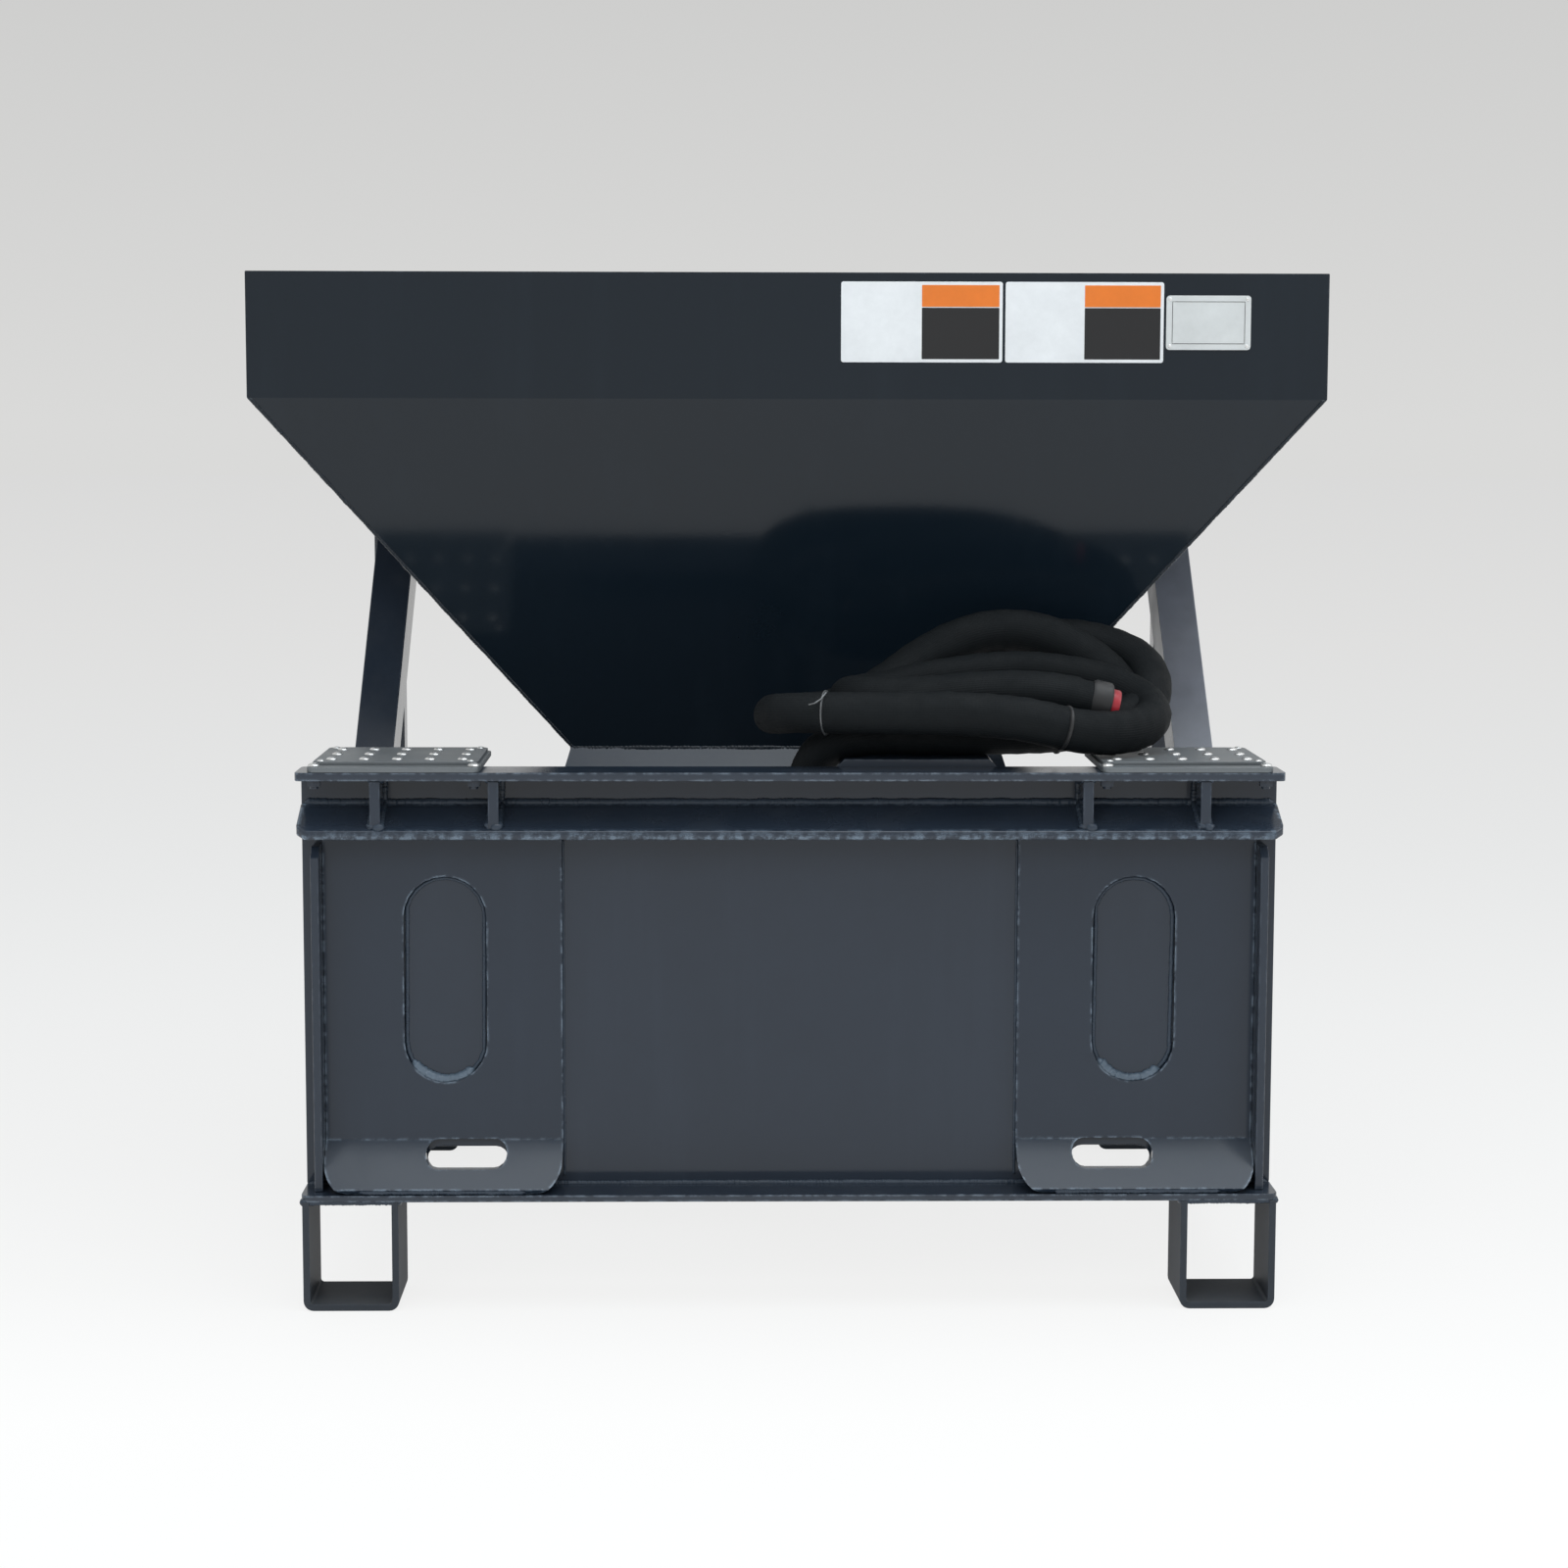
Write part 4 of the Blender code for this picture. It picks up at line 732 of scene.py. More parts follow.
def add_lamp(name, spot, target, width, depth, radiance, tint, seen_in_gloss):
    """A soft rectangular lamp. radiance is how bright its face looks."""
    light = bpy.data.lights.new(name, "AREA")
    light.shape = "RECTANGLE"
    light.size = width
    light.size_y = depth
    light.energy = radiance * math.pi * width * depth
    light.color = tint
    lamp = bpy.data.objects.new(name, light)
    lamp.location = spot
    lamp.rotation_euler = (Vector(spot) - Vector(target)).to_track_quat("Z", "Y").to_euler()
    lamp.visible_glossy = seen_in_gloss
    lamp.visible_camera = False
    bpy.context.scene.collection.objects.link(lamp)


def background_rays(wires):
    """1 for rays that show the background: from the camera, off gloss or through glass."""
    path = wires.node("LightPath").outputs
    seen = wires.plus(path["Is Camera Ray"], path["Is Glossy Ray"], True)
    return wires.plus(seen, path["Is Transmission Ray"], True)


def studio_world():
    """A pale backdrop, and soft room light that comes mostly from above."""
    world = bpy.data.worlds.new("studio")
    world.use_nodes = True
    bpy.context.scene.world = world
    wires = Wires(world.node_tree)
    background = world.node_tree.nodes["Background"]
    way = wires.node("SeparateXYZ", {0: wires.node("TexCoord").outputs["Generated"]}).outputs
    rise = wires.math("MINIMUM", wires.math("MAXIMUM", way["Z"], 0.0), 0.15)
    grey = wires.minus(HORIZON_GREY, wires.times(rise, BACKDROP_FALL))
    backdrop = wires.math("POWER", grey, LIGHT_POWER)
    high = wires.step(way["Z"], 0.10, 0.6)
    room = wires.blend(high, ROOM_LOW, ROOM_HIGH)
    seen = background_rays(wires)
    level = wires.blend(seen, room, backdrop)
    tint = wires.mix(seen, (0.86, 0.94, 1.0), (1.0, 1.0, 0.99))
    wires.feed(background.inputs["Color"], tint)
    wires.feed(background.inputs["Strength"], level)


def studio_floor():
    """A wide pale floor that keeps the shadow and brightens towards the camera."""
    bm = bmesh.new()
    spread = [-FLOOR_REACH, -12.0, -3.0, 3.0, 12.0, FLOOR_REACH]
    grid = [[bm.verts.new((x, y, 0.0)) for x in spread] for y in spread]
    for row, above in zip(grid, grid[1:]):
        for k in range(len(spread) - 1):
            bm.faces.new((row[k], row[k + 1], above[k + 1], above[k]))
    mesh = bpy.data.meshes.new("floor")
    bm.to_mesh(mesh)
    bm.free()
    floor = bpy.data.objects.new("floor", mesh)
    bpy.context.scene.collection.objects.link(floor)
    material, wires, shader = new_material("floor")
    nodes = material.node_tree.nodes
    shader.inputs["Roughness"].default_value = 0.9
    shader.inputs["Specular IOR Level"].default_value = 0.1
    spot = wires.node("SeparateXYZ", {0: wires.node("NewGeometry").outputs["Position"]}).outputs
    squares = wires.plus(wires.math("POWER", spot["X"], 2.0), wires.math("POWER", spot["Y"], 2.0))
    way = wires.math("MAXIMUM", spot["Y"], wires.minus(wires.math("POWER", squares, 0.5), FLOOR_RIM))
    shader.inputs["Base Color"].default_value = (*colours().floor, 1)
    camera_away = -CAMERA_SPOT[1]
    away = wires.math("MAXIMUM", wires.plus(way, camera_away), FLOOR_NEAREST)
    far = wires.step(way, 2.0, 12.0)
    farthest = HORIZON_GREY - FLOOR_GAIN / (FLOOR_REACH + camera_away)
    grey = wires.plus(farthest, wires.math("DIVIDE", FLOOR_GAIN, away))
    grey = wires.math("MINIMUM", wires.times(grey, wires.blend(far, NEAR_GAIN, 1.0)), FLOOR_BRIGHTEST)
    glow = wires.node("Emission", {"Strength": wires.math("POWER", grey, LIGHT_POWER)})
    glow.inputs["Color"].default_value = (1.0, 1.0, 0.995, 1)
    share = wires.times(background_rays(wires), wires.blend(far, NEAR_SHARE, 1.0))
    both = wires.node("MixShader", {0: share, 1: shader.outputs[0], 2: glow.outputs[0]})
    wires.feed(nodes["Material Output"].inputs["Surface"], both.outputs[0])
    mesh.materials.append(material)


class SPREADER_OT_stage(bpy.types.Operator):
    """Sets the camera, the lamps, the pale floor and the backdrop"""

    bl_idname = "spreader.stage"
    bl_label = "Stage"

    def execute(self, context):
        context.scene.view_settings.view_transform = "Standard"
        place_camera()
        studio_world()
        studio_floor()
        for lamp in LAMPS:
            add_lamp(*lamp)
        return {"FINISHED"}


# ---------------------------------------------------------------- hose loom

HOSE_EXIT = (0.022, -0.395, 0.6006)
HOSE_RISE = [
    (0.0220, -0.3950, 0.6170),
    (0.0230, -0.3952, 0.6350),
    (0.0320, -0.3960, 0.6570),
    (0.0560, -0.3980, 0.6740),
    (0.0960, -0.4000, 0.6815),
    (0.1460, -0.4000, 0.6820),
]
FIRST_TURN = [
    (0.2000, -0.4000, 0.6820),
    (0.2600, -0.3985, 0.6825),
    (0.3200, -0.3920, 0.6850),
    (0.3750, -0.3750, 0.6900),
    (0.4200, -0.3440, 0.6990),
    (0.4470, -0.3000, 0.7180),
    (0.4520, -0.2580, 0.7450),
    (0.4330, -0.2310, 0.7670),
    (0.3900, -0.2170, 0.7820),
    (0.3350, -0.2120, 0.7870),
    (0.2700, -0.2110, 0.7740),
    (0.2000, -0.2140, 0.7480),
    (0.1380, -0.2260, 0.7180),
    (0.0950, -0.2370, 0.7040),
    (0.0640, -0.2580, 0.6960),
    (0.0520, -0.2880, 0.6930),
    (0.0640, -0.3200, 0.6900),
    (0.0950, -0.3430, 0.6885),
    (0.1400, -0.3515, 0.6885),
]
SECOND_TURN = [
    (0.2000, -0.3520, 0.6890),
    (0.2700, -0.3510, 0.6900),
    (0.3300, -0.3460, 0.6930),
    (0.3800, -0.3310, 0.6990),
    (0.4090, -0.3040, 0.7110),
    (0.4120, -0.2780, 0.7300),
    (0.3830, -0.2560, 0.7590),
    (0.3330, -0.2420, 0.7880),
    (0.2750, -0.2370, 0.7985),
    (0.2200, -0.2400, 0.7880),
    (0.1660, -0.2470, 0.7610),
    (0.1110, -0.2640, 0.7240),
    (0.0600, -0.2860, 0.7030),
    (0.0100, -0.3180, 0.7000),
    (-0.0180, -0.3620, 0.7030),
    (-0.0110, -0.4100, 0.7090),
    (0.0300, -0.4400, 0.7120),
    (0.1000, -0.4510, 0.7125),
]
THIRD_TURN = [
    (0.2000, -0.4530, 0.7120),
    (0.2800, -0.4510, 0.7050),
    (0.3450, -0.4410, 0.6900),
    (0.4000, -0.4130, 0.6860),
    (0.4380, -0.3720, 0.6940),
    (0.4440, -0.3330, 0.7080),
    (0.4210, -0.3080, 0.7230),
    (0.3840, -0.2950, 0.7370),
    (0.3300, -0.2880, 0.7460),
    (0.2730, -0.2850, 0.7490),
    (0.1950, -0.2890, 0.7410),
    (0.1250, -0.2890, 0.7260),
    (0.0980, -0.2955, 0.7220),
    (0.0780, -0.3133, 0.7210),
    (0.0710, -0.3380, 0.7220),
    (0.0780, -0.3620, 0.7230),
    (0.0980, -0.3800, 0.7240),
    (0.1260, -0.3860, 0.7245),
]
HOSE_TAIL = [
    (0.1740, -0.3860, 0.7270),
    (0.2400, -0.3880, 0.7330),
    (0.3000, -0.3880, 0.7330),
    (0.3450, -0.3870, 0.7270),
    (0.3740, -0.3860, 0.7200),
]
HOSE_SPACING = 0.007

# (radius, height) outlines of the fittings on the loom's far end.
CUFF_OUTLINE = (
    (0.0235, -0.0120), (0.0262, -0.0080), (0.0262, 0.0100),
    (0.0240, 0.0125), (0.0225, 0.0100), (0.0225, 0.0020),
)
COUPLER_OUTLINE = (
    (0.0150, -0.0040), (0.0165, 0.0020), (0.0165, 0.0080), (0.0148, 0.0090), (0.0148, 0.0110),
    (0.0165, 0.0120), (0.0165, 0.0160), (0.0140, 0.0170), (0.0, 0.0170),
)
CAP_OUTLINE = (
    (0.0185, 0.0125), (0.0198, 0.0135), (0.0198, 0.0215), (0.0188, 0.0230), (0.0150, 0.0232),
    (0.0142, 0.0222), (0.0070, 0.0222), (0.0060, 0.0235), (0.0, 0.0235),
)

# Loose end of the wire tie.
WIRE_TAIL = (
    (0.0420, -0.4560, 0.7375),
    (0.0360, -0.4640, 0.7310),
    (0.0280, -0.4690, 0.7260),
    (0.0210, -0.4660, 0.7240),
)
# (place on the loom, half the strap's width, its radius)
WIRE_TIES = (((0.0450, -0.4440, 0.7120), 0.0011, 0.0272), ((0.0900, -0.2720, 0.7120), 0.0014, 0.0272))
CABLE_TIES = (((0.3300, -0.4450, 0.7070), 0.0022, 0.0274), ((0.3200, -0.3920, 0.6850), 0.0022, 0.0274))


def smooth_line(knots, spacing):
    """A smooth curve through every knot."""
    ends = [2 * knots[0] - knots[1], *knots, 2 * knots[-1] - knots[-2]]
    line = [knots[0]]
    for a, b, c, d in zip(ends, ends[1:], ends[2:], ends[3:]):
        steps = max(1, round((c - b).length / spacing))
        for k in range(1, steps + 1):
            t = k / steps
            bend = (2 * a - 5 * b + 4 * c - d) * t**2 + (3 * b - a - 3 * c + d) * t**3
            line.append(0.5 * (2 * b + (c - a) * t + bend))
    return line


def hose_line():
    knots = [Vector(p) for p in [HOSE_EXIT, *HOSE_RISE, *FIRST_TURN, *SECOND_TURN, *THIRD_TURN, *HOSE_TAIL]]
    line = smooth_line(knots, HOSE_SPACING)
    for _ in range(10):
        inner = [(a + 2 * b + c) / 4 for a, b, c in zip(line[1:], line[2:], line[3:])]
        line = [*line[:2], *inner, line[-1]]
    return line


def hose_surface(line, width):
    """The sleeve as a slightly oval tube that twists along its run, with folds and a seam."""
    bm = bmesh.new()
    layer = bm.loops.layers.uv.new("run and turn")
    chance = random.Random(5)
    sides = 28
    half = width / 2
    folds = [chance.uniform(-1, 1) for _ in range(len(line) // 3 + 4)]
    across = (line[1] - line[0]).normalized().orthogonal().normalized()
    rings = []
    run = [0.0]
    for one, two in zip(line, line[1:]):
        run.append(run[-1] + (two - one).length)
    for k, point in enumerate(line):
        ahead = (line[min(len(line) - 1, k + 1)] - line[max(0, k - 1)]).normalized()
        across = (across - ahead * across.dot(ahead)).normalized()
        upward = ahead.cross(across)
        place = k / 3
        low = int(place)
        slack = folds[low] + (folds[low + 1] - folds[low]) * (place - low)
        twist = 0.9 * math.sin(run[k] * 3.1) + run[k] * 1.4
        ring = []
        for side in range(sides):
            angle = math.tau * side / sides
            oval = 1 + 0.055 * math.cos(2 * (angle - twist))
            wrinkle = 0.020 * slack * math.sin(3 * angle + run[k] * 41)
            wrinkle += 0.012 * math.sin(run[k] * 260 + 2 * angle)
            seam = 0.030 * math.exp(-(((angle - twist * 0.6) % math.tau - math.pi) / 0.10) ** 2)
            reach = half * 0.965 * (oval + wrinkle + seam)
            if k < 4 or k > len(line) - 5:
                reach *= 0.93
            ring.append(bm.verts.new(point + (across * math.cos(angle) + upward * math.sin(angle)) * reach))
        rings.append(ring)
    for k, (low, high) in enumerate(zip(rings, rings[1:])):
        for side in range(sides):
            after = (side + 1) % sides
            face = bm.faces.new((low[side], low[after], high[after], high[side]))
            turns = (side / sides, (side + 1) / sides, (side + 1) / sides, side / sides)
            for loop, along, around in zip(face.loops, (run[k], run[k], run[k + 1], run[k + 1]), turns):
                loop[layer].uv = (along, around)
    bm.faces.new(rings[0])
    bm.faces.new(rings[-1])
    return bm


def hose_coupler(end, ahead):
    """The cuff, steel coupler and red cap on the far end of the loom."""
    cuff = bmesh.new()
    turned(cuff, CUFF_OUTLINE, end, ahead, 32)
    cuff = settle("hose_cuff", cuff, "black rubber")
    steel = bmesh.new()
    turned(steel, COUPLER_OUTLINE, end, ahead, 32)
    steel = settle("hose_coupler", steel, "zinc plate")
    cap = bmesh.new()
    turned(cap, CAP_OUTLINE, end, ahead, 36)
    cap = settle("hose_cap", cap, "red plastic")
    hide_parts("hose_end_cap")
    return [cuff, steel, cap]


def band(bm, line, centre, wide, reach):
    """A strap round the loom at one place on its line."""
    spot = min(range(len(line)), key=lambda k: (line[k] - Vector(centre)).length)
    ahead = (line[min(len(line) - 1, spot + 1)] - line[max(0, spot - 1)]).normalized()
    profile = [(reach * 0.96, -wide), (reach, -wide * 0.6), (reach, wide * 0.6), (reach * 0.96, wide)]
    turned(bm, profile, line[spot], ahead, 36)


class SPREADER_OT_hose_loom(bpy.types.Operator):
    """Makes the sleeved hose loom, its end fittings and its ties"""

    bl_idname = "spreader.hose_loom"
    bl_label = "Hose loom"

    def execute(self, context):
        width = sizes().hose_width
        line = hose_line()
        loom = settle("hose_loom", hose_surface(line, width), "woven sleeve", sharp=180)
        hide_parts("hose_coil", "hose_lead")
        ahead = (line[-1] - line[-2]).normalized()
        ends = hose_coupler(line[-1], ahead)
        ties = bmesh.new()
        for tie in WIRE_TIES:
            band(ties, line, *tie)
        swept(ties, even_line(WIRE_TAIL, 0.002), lambda k, side: 0.0009, 6)
        settle("hose_wire_ties", ties, "tie wire")
        strap = bmesh.new()
        for tie in CABLE_TIES:
            band(strap, line, *tie)
        settle("hose_cable_tie", strap, "black rubber")
        return {"FINISHED"}


# ---------------------------------------------------------------- finishes

HOPPER_NODES = (
    "hopper_front_panel",
    "hopper_rear_panel",
    "hopper_side_panel_left",
    "hopper_side_panel_right",
)
# Pieces whose cut edges are rounded, by how their names start.
ROUNDED = (
    "back_plate", "base_plate", "brace_", "front_foot", "rear_foot", "hook_plate", "hook_rib", "hopper_",
    "hose_rest", "lip_plate", "motor_beam", "rear_crossmember", "rear_post", "side_gusset", "side_rail",
    "step_plate", "step_grip", "top_flange", "spinner_hood", "deflector", "gate_plate", "gate_guide",
    "feed_floor",
)


# How much rounder the hook's thick plate is than the others.
HOOK_ROUNDER = 2.4


def soften(node, radius):
    """Rounds the cut edges of a plate without changing the frame's own mesh."""
    weld = node.modifiers.new("join corners", "WELD")
    weld.merge_threshold = 0.00005
    bevel = node.modifiers.new("round edges", "BEVEL")
    bevel.width = radius
    bevel.segments = 2
    bevel.limit_method = "ANGLE"
    bevel.angle_limit = math.radians(14)
    shade = node.modifiers.new("even shading", "WEIGHTED_NORMAL")
    shade.weight = 60


def slot_of(node):
    return node.material_slots[0].name.split(".")[0]


class SPREADER_OT_finishes(bpy.types.Operator):
    """Gives every part of the frame its finish and rounds the plate edges"""

    bl_idname = "spreader.finishes"
    bl_label = "Finishes"

    def execute(self, context):
        special = {
            "rating_plate": "aluminium",
            # The right brace is painted lighter all over as a painted highlight; the left brace keeps the frame
            # paint.
            "brace_right": "scuffed paint",
            # Hook plate: painted reflection of the sky along its edges, with some wear.
            "hook_plate": "hook paint",
            "back_plate": "panel paint",
            # Base plate and top flange: edges partly worn, partly a painted highlight.
            "base_plate": "rubbed paint",
            "top_flange": "rubbed paint",
            # Lips: edges partly worn, partly a painted reflection.
            "lip_plate_left": "lip paint",
            "lip_plate_right": "lip paint",
        }
        special.update(dict.fromkeys(HOPPER_NODES, "hopper paint"))
        special.update({name: "foot paint" for name in NODES if "_foot_" in name})
        special.update({name: "step bolt" for name in NODES if name.startswith("step_bolt")})
        for name, node in NODES.items():
            finish = special.get(name) or SLOT_FINISH[slot_of(node)]
            for held in node.material_slots:
                held.material = stuff(finish)
            if name.startswith(ROUNDED):
                soften(node, sizes().edge_round * (HOOK_ROUNDER if name == "hook_plate" else 1.0))
        return {"FINISHED"}


# ---------------------------------------------------------------- weld beads


HOOK_RIBS = ("hook_rib_1", "hook_rib_2", "hook_rib_3", "hook_rib_4")
# Height of the hook plate's lower seam, and the lower front end of a rib's seam.
HOOK_FOOT = 0.6045
RIB_TIP = (-0.4955, 0.5795)
RIB_HEAD = -0.4930
# (step to the side, y, z, radius, step of the seed) of the weld lumps on each rib.
RIB_LUMPS = (
    (0.004, -0.4925, 0.5815, 0.0068, 0),
    (-0.005, -0.4900, 0.5825, 0.0052, 9),
    (0.0, -0.4905, 0.6335, 0.0050, 20),
)
# The oval windows of the attach side, as (x, z) of the middle on the right, width and height.
OVAL_MIDDLE = (0.413, 0.391)
OVAL_WIDTH = 0.094
OVAL_HEIGHT = 0.245
# Upright seams of the attach side, as (x, foot, top) on the right.
INNER_SEAM = (0.2722, 0.150, 0.560)
OUTER_SEAM = (0.5583, 0.145, 0.550)
# Seam along the fold of the right lip.
LIP_SEAM = ((0.3150, -0.4950, 0.1440), (0.5150, -0.4950, 0.1440))
# Corner seams of the hopper: (y at the rim, y at the outlet), the rim's height, and (x, z) at the outlet.
HOPPER_SEAMS = ((-0.2795, -0.1100), (0.4985, 0.3300))
HOPPER_SEAM_TOP = 1.084
HOPPER_SEAM_FOOT = (0.2745, 0.6365)
# Seam round the outlet, as (x, y, x, y, z).
OUTLET_SEAM = (-0.274, -0.110, 0.274, 0.330, 0.6362)


def both_sides(points):
    return [points, [(-x, y, z) for x, y, z in points]]


def stadium(centre, width, height, y, steps=12):
    """Outline of an oval slot in a plate that faces -Y."""
    radius = width / 2
    straight = height / 2 - radius
    outline = []
    for k in range(2 * steps):
        angle = math.pi * k / steps
        lift = straight if angle < math.pi else -straight
        outline.append((centre[0] + radius * math.cos(angle), y, centre[1] + lift + radius * math.sin(angle)))
    return outline


def rectangle(x0, y0, x1, y1, z):
    return [(x0, y0, z), (x1, y0, z), (x1, y1, z), (x0, y1, z)]


def seam_across(low, high, inset, y, z):
    """A straight seam from side to side of a plate."""
    return [(low.x + inset, y, z), (high.x - inset, y, z)]


def oval_outline(side, y):
    """Outline of the oval window on one side of the attach plate."""
    return stadium((side * OVAL_MIDDLE[0], OVAL_MIDDLE[1]), OVAL_WIDTH, OVAL_HEIGHT, y)


def front_beads():
    """(points, radius, closed) of the welds on the attach side."""
    plate_low, plate_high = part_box("back_plate")
    hook_low, hook_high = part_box("hook_plate")
    flange_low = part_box("top_flange")[0]
    base_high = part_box("base_plate")[1]
    radius = sizes().bead
    face = plate_low.y
    front = face - 0.001
    runs = [
        (seam_across(hook_low, hook_high, 0.004, front, HOOK_FOOT), radius * 1.15, False),
        (seam_across(plate_low, plate_high, 0.003, front, flange_low.z), radius, False),
        (seam_across(plate_low, plate_high, 0.003, front, base_high.z), radius * 0.9, False),
    ]
    x, foot, top = INNER_SEAM
    for points in both_sides([(x, face - 0.0004, foot), (x, face - 0.0004, top)]):
        runs.append((points, radius * 0.45, False))
    for side in (1, -1):
        runs.append((oval_outline(side, face - 0.0006), radius * 0.65, True))
        runs.append(([(side * x, y, z) for x, y, z in LIP_SEAM], radius * 1.05, False))
    x, foot, top = OUTER_SEAM
    for points in both_sides([(x, front, foot), (x, front, top)]):
        runs.append((points, radius * 0.5, False))
    for rib in HOOK_RIBS:
        low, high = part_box(rib)
        for x in (low.x, high.x):
            foot, top = (x, front, HOOK_FOOT), (x, front, flange_low.z)
            seam = [(x, *RIB_TIP), foot, top, (x, RIB_HEAD, flange_low.z)]
            runs.append((seam, radius * 0.95, False))
    return runs


def oval_beads():
    """(points, radius, closed) of the heavier welds in the bottom of the oval windows."""
    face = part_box("back_plate")[0].y
    runs = []
    for side in (1, -1):
        oval = oval_outline(side, face - 0.0012)
        runs.append((oval[len(oval) // 2 + 2 : -2], sizes().bead * 1.5, False))
    return runs


def frame_beads():
    """(points, radius, closed) of the welds on the feet, the rear posts and the rear crossmember."""
    radius = sizes().bead
    runs = []
    for foot in ("front_foot_left", "front_foot_right", "rear_foot_left", "rear_foot_right"):
        low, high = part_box(foot)
        near = max(low.y, CAD_LOW.y + radius + INSIDE)
        runs.append((rectangle(low.x, near, high.x, high.y, high.z - 0.0005), radius * 0.9, True))
    for post in ("rear_post_left", "rear_post_right"):
        low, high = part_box(post)
        runs.append((rectangle(low.x, low.y, high.x, high.y, low.z + 0.001), radius, True))
    cross_low, cross_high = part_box("rear_crossmember")
    for x in (cross_low.x, cross_high.x):
        runs.append(([(x, cross_low.y, cross_high.z), (x, cross_high.y, cross_high.z)], radius * 0.8, False))
    return runs


def hopper_beads():
    """(points, radius, closed) of the corner seams of the hopper."""
    radius = sizes().bead * 0.6
    edge = CAD_HIGH.x - radius * 1.3 - INSIDE
    runs = []
    foot_x, foot_z = HOPPER_SEAM_FOOT
    for y_rim, y_out in HOPPER_SEAMS:
        for points in both_sides([(edge, y_rim, HOPPER_SEAM_TOP), (foot_x, y_out, foot_z)]):
            runs.append((points, radius, False))
    runs.append((rectangle(*OUTLET_SEAM), radius * 1.8, True))
    return runs


def add_rib_lumps(bm):
    """Adds the lumps of weld metal on the hook ribs."""
    for number, rib in enumerate(HOOK_RIBS):
        low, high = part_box(rib)
        middle = (low.x + high.x) / 2
        for aside, y, z, radius, seed_step in RIB_LUMPS:
            blob(bm, (middle + aside, y, z), radius, number + seed_step)


def keep_inside(bm):
    """Keeps a bead's points within the frame's own box."""
    for vert in bm.verts:
        for k in range(3):
            vert.co[k] = min(max(vert.co[k], CAD_LOW[k] + INSIDE), CAD_HIGH[k] - INSIDE)


class SPREADER_OT_welds(bpy.types.Operator):
    """Lays the weld beads along the seams"""

    bl_idname = "spreader.welds"
    bl_label = "Weld beads"

    def execute(self, context):
        beads = {
            "front_welds": front_beads(),
            "oval_welds": oval_beads(),
            "frame_welds": frame_beads(),
            "hopper_welds": hopper_beads(),
        }
        # The lower oval welds get a lighter finish, a painted highlight.
        finishes = {"hopper_welds": "hopper paint", "oval_welds": "light bead"}
        for name, runs in beads.items():
            bm = bmesh.new()
            for seed, (points, radius, closed) in enumerate(runs):
                bead(bm, points, radius, seed, closed)
            if name == "front_welds":
                add_rib_lumps(bm)
            keep_inside(bm)
            settle(name, bm, finishes.get(name, "bead paint"), sharp=70)
        return {"FINISHED"}


# ---------------------------------------------------------------- steps

GRIP_COLUMNS = 5
GRIP_ROWS = 3
RIVET_INSET = 0.009


class SPREADER_OT_steps(bpy.types.Operator):
    """Adds the raised grip domes and corner rivets on both steps"""

    bl_idname = "spreader.steps"
    bl_label = "Step grips"

    def execute(self, context):
        radius = sizes().dome_width / 2
        rise = sizes().dome_rise
        for side in ("left", "right"):
            low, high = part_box(f"step_grip_{side}")
            domes = bmesh.new()
            for column in range(GRIP_COLUMNS):
                for row in range(GRIP_ROWS):
                    x = low.x + (high.x - low.x) * (column + 0.5) / GRIP_COLUMNS
                    y = low.y + (high.y - low.y) * (row + 0.5) / GRIP_ROWS
                    dome(domes, (x, y, high.z), (0, 0, 1), radius, rise)
            settle(f"step_domes_{side}", domes, "bright steel")
            rivets = bmesh.new()
            for x in (low.x + RIVET_INSET, high.x - RIVET_INSET):
                for y in (low.y + RIVET_INSET, high.y - RIVET_INSET):
                    dome(rivets, (x, y, high.z), (0, 0, 1), 0.0043, 0.0018)
            settle(f"step_rivets_{side}", rivets, "bright steel")
        return {"FINISHED"}


# ---------------------------------------------------------------- blank plates

LABEL_THICK = 0.0006
# Left and right end of each label panel, and the foot and top of them both.
LABEL_ENDS = ((0.0640, 0.2620), (0.2655, 0.4600))
LABEL_FOOT = 1.1290
LABEL_TOP = 1.2270
# Foot and top of the two colour blocks on a panel, and their distance from its right end.
BAND_BLOCK = (1.1965, 1.2230)
FIELD_BLOCK = (1.1330, 1.1955)
BLOCK_INSET = 0.004
# The rating plate's border and rivets, measured in from its edges.
BORDER_INSET = 0.0075
PLATE_RIVET_INSET = 0.0045


def flat_panel(name, x0, z0, x1, z1, front, finish, corner=0.003):
    """A thin panel in front of the hopper's wall."""
    bm = bmesh.new()
    rounded_panel(bm, (x0, front, z0), (x1, front + LABEL_THICK, z1), corner)
    return settle(name, bm, finish)


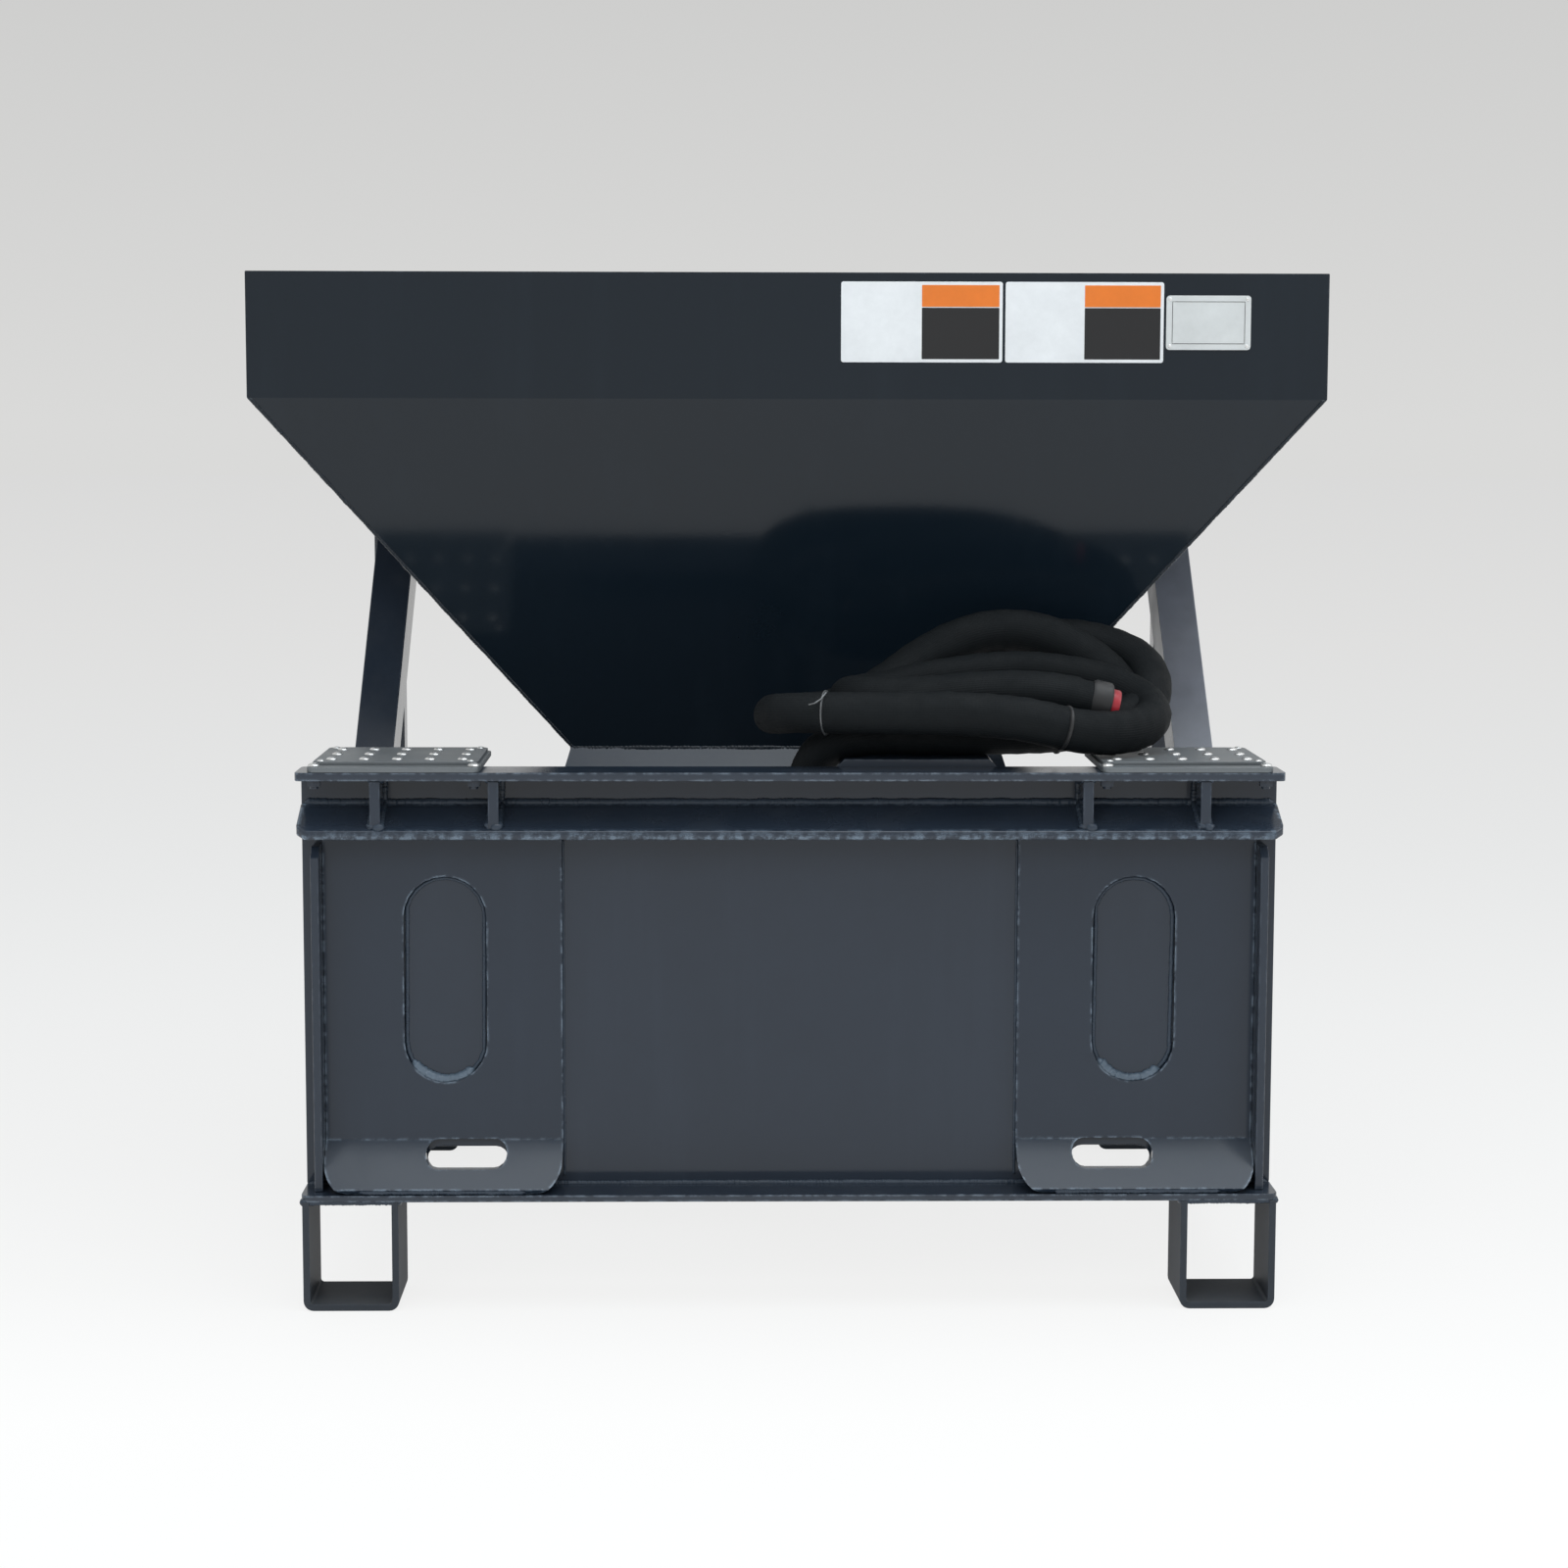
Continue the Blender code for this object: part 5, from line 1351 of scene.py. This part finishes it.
class SPREADER_OT_plates(bpy.types.Operator):
    """Adds the two blank label panels, and the border and rivets of the blank rating plate"""

    bl_idname = "spreader.plates"
    bl_label = "Blank plates"

    def execute(self, context):
        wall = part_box("hopper_front_panel")[0].y
        front = wall - LABEL_THICK
        for number, (left, right) in enumerate(LABEL_ENDS, 1):
            flat_panel(f"label_panel_{number}", left, LABEL_FOOT, right, LABEL_TOP, front, "white film")
            middle = (left + right) / 2
            end = right - BLOCK_INSET
            step = front - 0.0004
            foot, top = BAND_BLOCK
            flat_panel(f"label_band_{number}", middle, foot, end, top, step, "orange film", 0.0008)
            foot, top = FIELD_BLOCK
            flat_panel(f"label_field_{number}", middle, foot, end, top, step, "dark film", 0.0008)
        low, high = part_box("rating_plate")
        trim = bmesh.new()
        y = low.y - 0.0001
        x0, x1 = low.x + BORDER_INSET, high.x - BORDER_INSET
        z0, z1 = low.z + BORDER_INSET, high.z - BORDER_INSET
        border = [(x0, y, z0), (x1, y, z0), (x1, y, z1), (x0, y, z1), (x0, y, z0)]
        swept(trim, even_line(border, 0.004)[:-1], lambda k, side: 0.00035, 6, True)
        settle("rating_border", trim, "dark film")
        rivets = bmesh.new()
        for x in (low.x + PLATE_RIVET_INSET, high.x - PLATE_RIVET_INSET):
            for z in (low.z + PLATE_RIVET_INSET, high.z - PLATE_RIVET_INSET):
                dome(rivets, (x, low.y, z), (0, -1, 0), 0.0022, 0.0013, 14, 0.0002)
        settle("rating_rivets", rivets, "bright steel")
        return {"FINISHED"}


# ---------------------------------------------------------------- working gear

SPINNER_Y = 0.11
# Distance of the motor's bolts from its middle, and of the vane bolts from the shaft and from the vane.
MOTOR_BOLT_REACH = 0.037
VANE_BOLT_REACHES = (0.075, 0.150)
VANE_BOLT_ASIDE = 0.014
# Distance in from the rod's end of its washer and its split pin, and how far the pin stands below and above.
WASHER_INSET = 0.0065
PIN_INSET = 0.0030
PIN_BELOW = 0.006
PIN_ABOVE = 0.004


class SPREADER_OT_drive_fittings(bpy.types.Operator):
    """Adds the bolts of the motor, of the spinner vanes and of the hose clamp"""

    bl_idname = "spreader.drive_fittings"
    bl_label = "Drive fittings"

    def execute(self, context):
        beam_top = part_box("motor_beam")[1].z
        bolts = bmesh.new()
        for x in (-MOTOR_BOLT_REACH, MOTOR_BOLT_REACH):
            for y in (-MOTOR_BOLT_REACH, MOTOR_BOLT_REACH):
                hex_bolt(bolts, (x, SPINNER_Y + y, beam_top), (0, 0, 1), 0.014)
        settle("motor_bolts", bolts, "zinc plate")
        vane_bolts = bmesh.new()
        disc_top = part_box("spinner_disc")[1].z
        for quarter in range(4):
            turn = math.radians(45 + 90 * quarter)
            aside = Vector((-math.sin(turn), math.cos(turn), 0)) * VANE_BOLT_ASIDE
            for reach in VANE_BOLT_REACHES:
                spot = Vector((math.cos(turn) * reach, SPINNER_Y + math.sin(turn) * reach, disc_top)) + aside
                hex_bolt(vane_bolts, spot, (0, 0, 1), 0.009)
        settle("vane_bolts", vane_bolts, "zinc plate", "spinner")
        low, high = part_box("hose_clamp")
        clamp = bmesh.new()
        for x in (low.x + 0.006, high.x - 0.006):
            hex_bolt(clamp, (x, (low.y + high.y) / 2, high.z), (0, 0, 1), 0.008, washer=False)
        settle("clamp_bolts", clamp, "zinc plate")
        return {"FINISHED"}


class SPREADER_OT_gate_fittings(bpy.types.Operator):
    """Adds the washers and split pins on the deflector rod"""

    bl_idname = "spreader.gate_fittings"
    bl_label = "Gate and hinge fittings"

    def execute(self, context):
        low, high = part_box("deflector_rod")
        centre = (low + high) / 2
        radius = (high.z - low.z) / 2
        pins = bmesh.new()
        inner, outer = radius * 0.9, radius * 1.9
        washer = [(inner, 0.0), (outer, 0.0002), (outer, 0.0014), (inner, 0.0016)]
        foot, top = centre.z - radius - PIN_BELOW, centre.z + radius + PIN_ABOVE
        for side in (-1, 1):
            end = high.x if side > 0 else low.x
            turned(pins, washer, (end - side * WASHER_INSET, centre.y, centre.z), (side, 0, 0), 24)
            x = end - side * PIN_INSET
            pin = [(x, centre.y, foot), (x, centre.y, top)]
            swept(pins, even_line(pin, 0.002), lambda k, edge: 0.0011, 8)
        settle("rod_pins", pins, "zinc plate")
        return {"FINISHED"}


# ---------------------------------------------------------------- panel and start


STEPS = (
    SPREADER_OT_stage,
    SPREADER_OT_hose_loom,
    SPREADER_OT_finishes,
    SPREADER_OT_welds,
    SPREADER_OT_steps,
    SPREADER_OT_plates,
    SPREADER_OT_drive_fittings,
    SPREADER_OT_gate_fittings,
)


class SPREADER_PT_panel(bpy.types.Panel):
    """Lists the steps that dress the spreader"""

    bl_label = "Hopper spreader"
    bl_idname = "SPREADER_PT_panel"
    bl_space_type = "VIEW_3D"
    bl_region_type = "UI"
    bl_category = "Spreader"

    def draw(self, context):
        column = self.layout.column()
        for group in (context.scene.spreader_sizes, context.scene.spreader_colours):
            for name in group.__annotations__:
                column.prop(group, name)
        for step in STEPS:
            column.operator(step.bl_idname)


CLASSES = (SpreaderSizes, SpreaderColours, *STEPS, SPREADER_PT_panel)


def register():
    for item in CLASSES:
        bpy.utils.register_class(item)
    bpy.types.Scene.spreader_sizes = bpy.props.PointerProperty(type=SpreaderSizes)
    bpy.types.Scene.spreader_colours = bpy.props.PointerProperty(type=SpreaderColours)


def unregister():
    del bpy.types.Scene.spreader_colours
    del bpy.types.Scene.spreader_sizes
    for item in reversed(CLASSES):
        bpy.utils.unregister_class(item)


def main():
    register()
    bpy.ops.spreader.stage()
    bpy.ops.spreader.hose_loom()
    bpy.ops.spreader.finishes()
    bpy.ops.spreader.welds()
    bpy.ops.spreader.steps()
    bpy.ops.spreader.plates()
    bpy.ops.spreader.drive_fittings()
    bpy.ops.spreader.gate_fittings()


if __name__ == "__main__":
    main()
